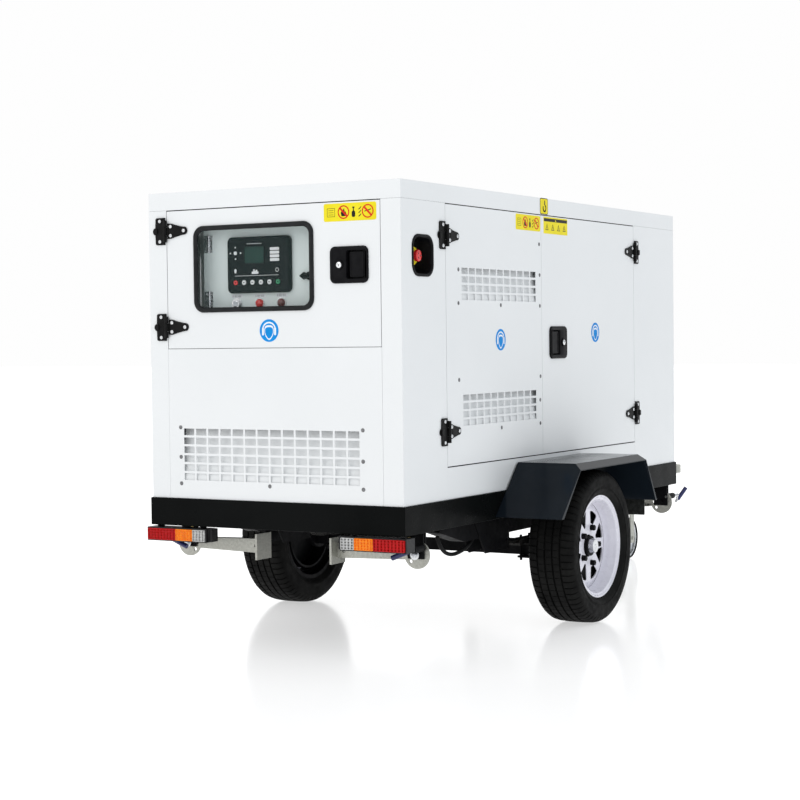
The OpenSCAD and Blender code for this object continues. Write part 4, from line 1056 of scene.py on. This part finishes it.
# The station of the jockey's tube, its wheel's trail and radius
JOCKEY_S, JOCKEY_TRAIL, JOCKEY_R = 3110, 70, 100
b = Build(facing(pt(JOCKEY_S - JOCKEY_TRAIL, 0, GROUND + JOCKEY_R), (1, 0, 0), (0, 0, 1)))
b.lathe([(92, -28), (96, -27), (99.4, -20), (JOCKEY_R, -8), (JOCKEY_R, 8), (99.4, 20), (96, 27),
         (92, 28), (90, 24), (90, -24)], 72, loop=True)
b.use(slot=1).lathe([(90, -22), (90, -14), (30, -8), (22, -22), (8.2, -22), (8.2, 22), (22, 22),
                     (30, 8), (90, 14), (90, 22), (82, 20), (76, 5), (76, -5), (82, -20)],
                    48, loop=True)
b.piece("jockey_wheel_tyred", "jockey_wheel", RUBBER, ZINC, slot="rubber_black",
        stands_for=("jockey_wheel",))
refined("jockey_crank", [ZINC], bevel=2.0, segments=3, slot="zinc_steel")

# -- details of the power unit --

b = Build()
for k in range(9):
    b.use(end_wall(680 + 42 * k, 0, 330, 1))
    b.lathe([(204, -5), (209, -3), (209, 3), (204, 5)], 64, loop=True)
b.piece("alternator_ribs", "trailer", ALTERNATOR, slot="alternator_grey")
b = Build()
for sign in (-1, 1):
    for k in range(4):
        s = 1230 + 170 * k
        b.use(on_side(sign, s, 620, 120)).prism(outline(120, 60, 10), 0, 6)
        for x in (-50, 50):
            screw(b, x, -20, 8, 6)
        b.use(on_side(sign, s, 470, 150)).ring(circle(44, sides=40), circle(36, sides=40), 0, 7)
b.piece("engine_covers", "trailer", ENGINE_GREEN, bevel=1.0, slot="engine_green")
b = Build()
for y in range(-280, 281, 20):
    b.box((1942, y - 1.5, 192), (1988, y + 1.5, 828))
b.piece("radiator_fins", "trailer", CORE, slot="core_aluminium")
b = Build(facing(pt(435, 0, 205), (1, 0, 0), (0, 1, 0)))
for y in (-300, -100):
    b.ring(circle(13, 0, y), circle(8.4, 0, y), 4, 14)
    b.prism(outline(16, 40, 4, 14, y + 18), 3, 10)
b.piece("battery_clamps", "trailer", ZINC, bevel=0.8, slot="battery_black")

# -- studio --

scene = bpy.context.scene
scene.view_settings.view_transform = "Standard"


FLOOR, FLOOR_DROP = 60, 0.0005
mesh = bpy.data.meshes.new("studio_floor")
mesh.from_pydata([(x * FLOOR, y * FLOOR, -FLOOR_DROP) for x, y in ((-1, -1), (1, -1), (1, 1), (-1, 1))],
                 [], [(0, 1, 2, 3)])
mesh.materials.append(surface("floor_white", (0.72,) * 3, (0.74,) * 3, (0.12, 0.16),
                              scale=0.3, specular=0.4, glow=0.72))
floor = bpy.data.objects.new("studio_floor", mesh)
scene.collection.objects.link(floor)

# A white surround that is slightly blue on the trailer's right
world = bpy.data.worlds.new("studio")
scene.world = world
world.use_nodes = True
sky_nodes, sky_links = world.node_tree.nodes, world.node_tree.links
direction = sky_nodes.new("ShaderNodeTexCoord")
axes = sky_nodes.new("ShaderNodeSeparateXYZ")
dimmer = sky_nodes.new("ShaderNodeMapRange")
put(dimmer, {"From Min": -0.9, "From Max": 0.1})
tint = sky_nodes.new("ShaderNodeValToRGB")
tint.color_ramp.elements[0].color = (0.74, 0.785, 0.83, 1)
tint.color_ramp.elements[1].color = (1.0, 1.0, 1.0, 1)
sky_links.new(direction.outputs["Generated"], axes.inputs["Vector"])
sky_links.new(axes.outputs["Y"], dimmer.inputs["Value"])
sky_links.new(dimmer.outputs["Result"], tint.inputs["Fac"])
sky_links.new(tint.outputs["Color"], sky_nodes["Background"].inputs["Color"])
put(sky_nodes["Background"], {"Strength": 0.99})


def soft_light(name, position, target, power):
    data = bpy.data.lights.new(name, "AREA")
    data.shape = "RECTANGLE"
    data.size = data.size_y = 3.0
    data.energy = power
    made = bpy.data.objects.new(name, data)
    made.location = position
    made.rotation_euler = (Vector(target) - Vector(position)).to_track_quat("-Z", "Y").to_euler()
    scene.collection.objects.link(made)


soft_light("key", (-6.5, 2.2, 3.6), (-1.0, 0.0, 1.0), 30)
soft_light("fill", (-5.0, -5.5, 3.4), (-1.2, -0.5, 0.9), 14)

# The pinhole camera that was fitted to the photo; radians and millimetres
CAMERA_PLACE = Vector((REAR_X - 5.2388, -3.5600, 1.0758))
YAW, PITCH, ROLL, LENS, SENSOR = 0.52734, 0.032405, -0.011896, 82.73, 36.0
level = Vector((math.sin(YAW), -math.cos(YAW), 0))
ahead = Vector((math.cos(YAW) * math.cos(PITCH), math.sin(YAW) * math.cos(PITCH), -math.sin(PITCH)))
right = level * math.cos(ROLL) + level.cross(ahead) * math.sin(ROLL)
up = right.cross(ahead)
camera_data = bpy.data.cameras.new("camera")
camera_data.lens = LENS
camera_data.sensor_width = SENSOR
camera = bpy.data.objects.new("camera", camera_data)
turn = Matrix((right, up, -ahead)).transposed().to_4x4()
camera.matrix_world = Matrix.Translation(CAMERA_PLACE) @ turn
scene.collection.objects.link(camera)
scene.camera = camera

bpy.context.view_layer.update()
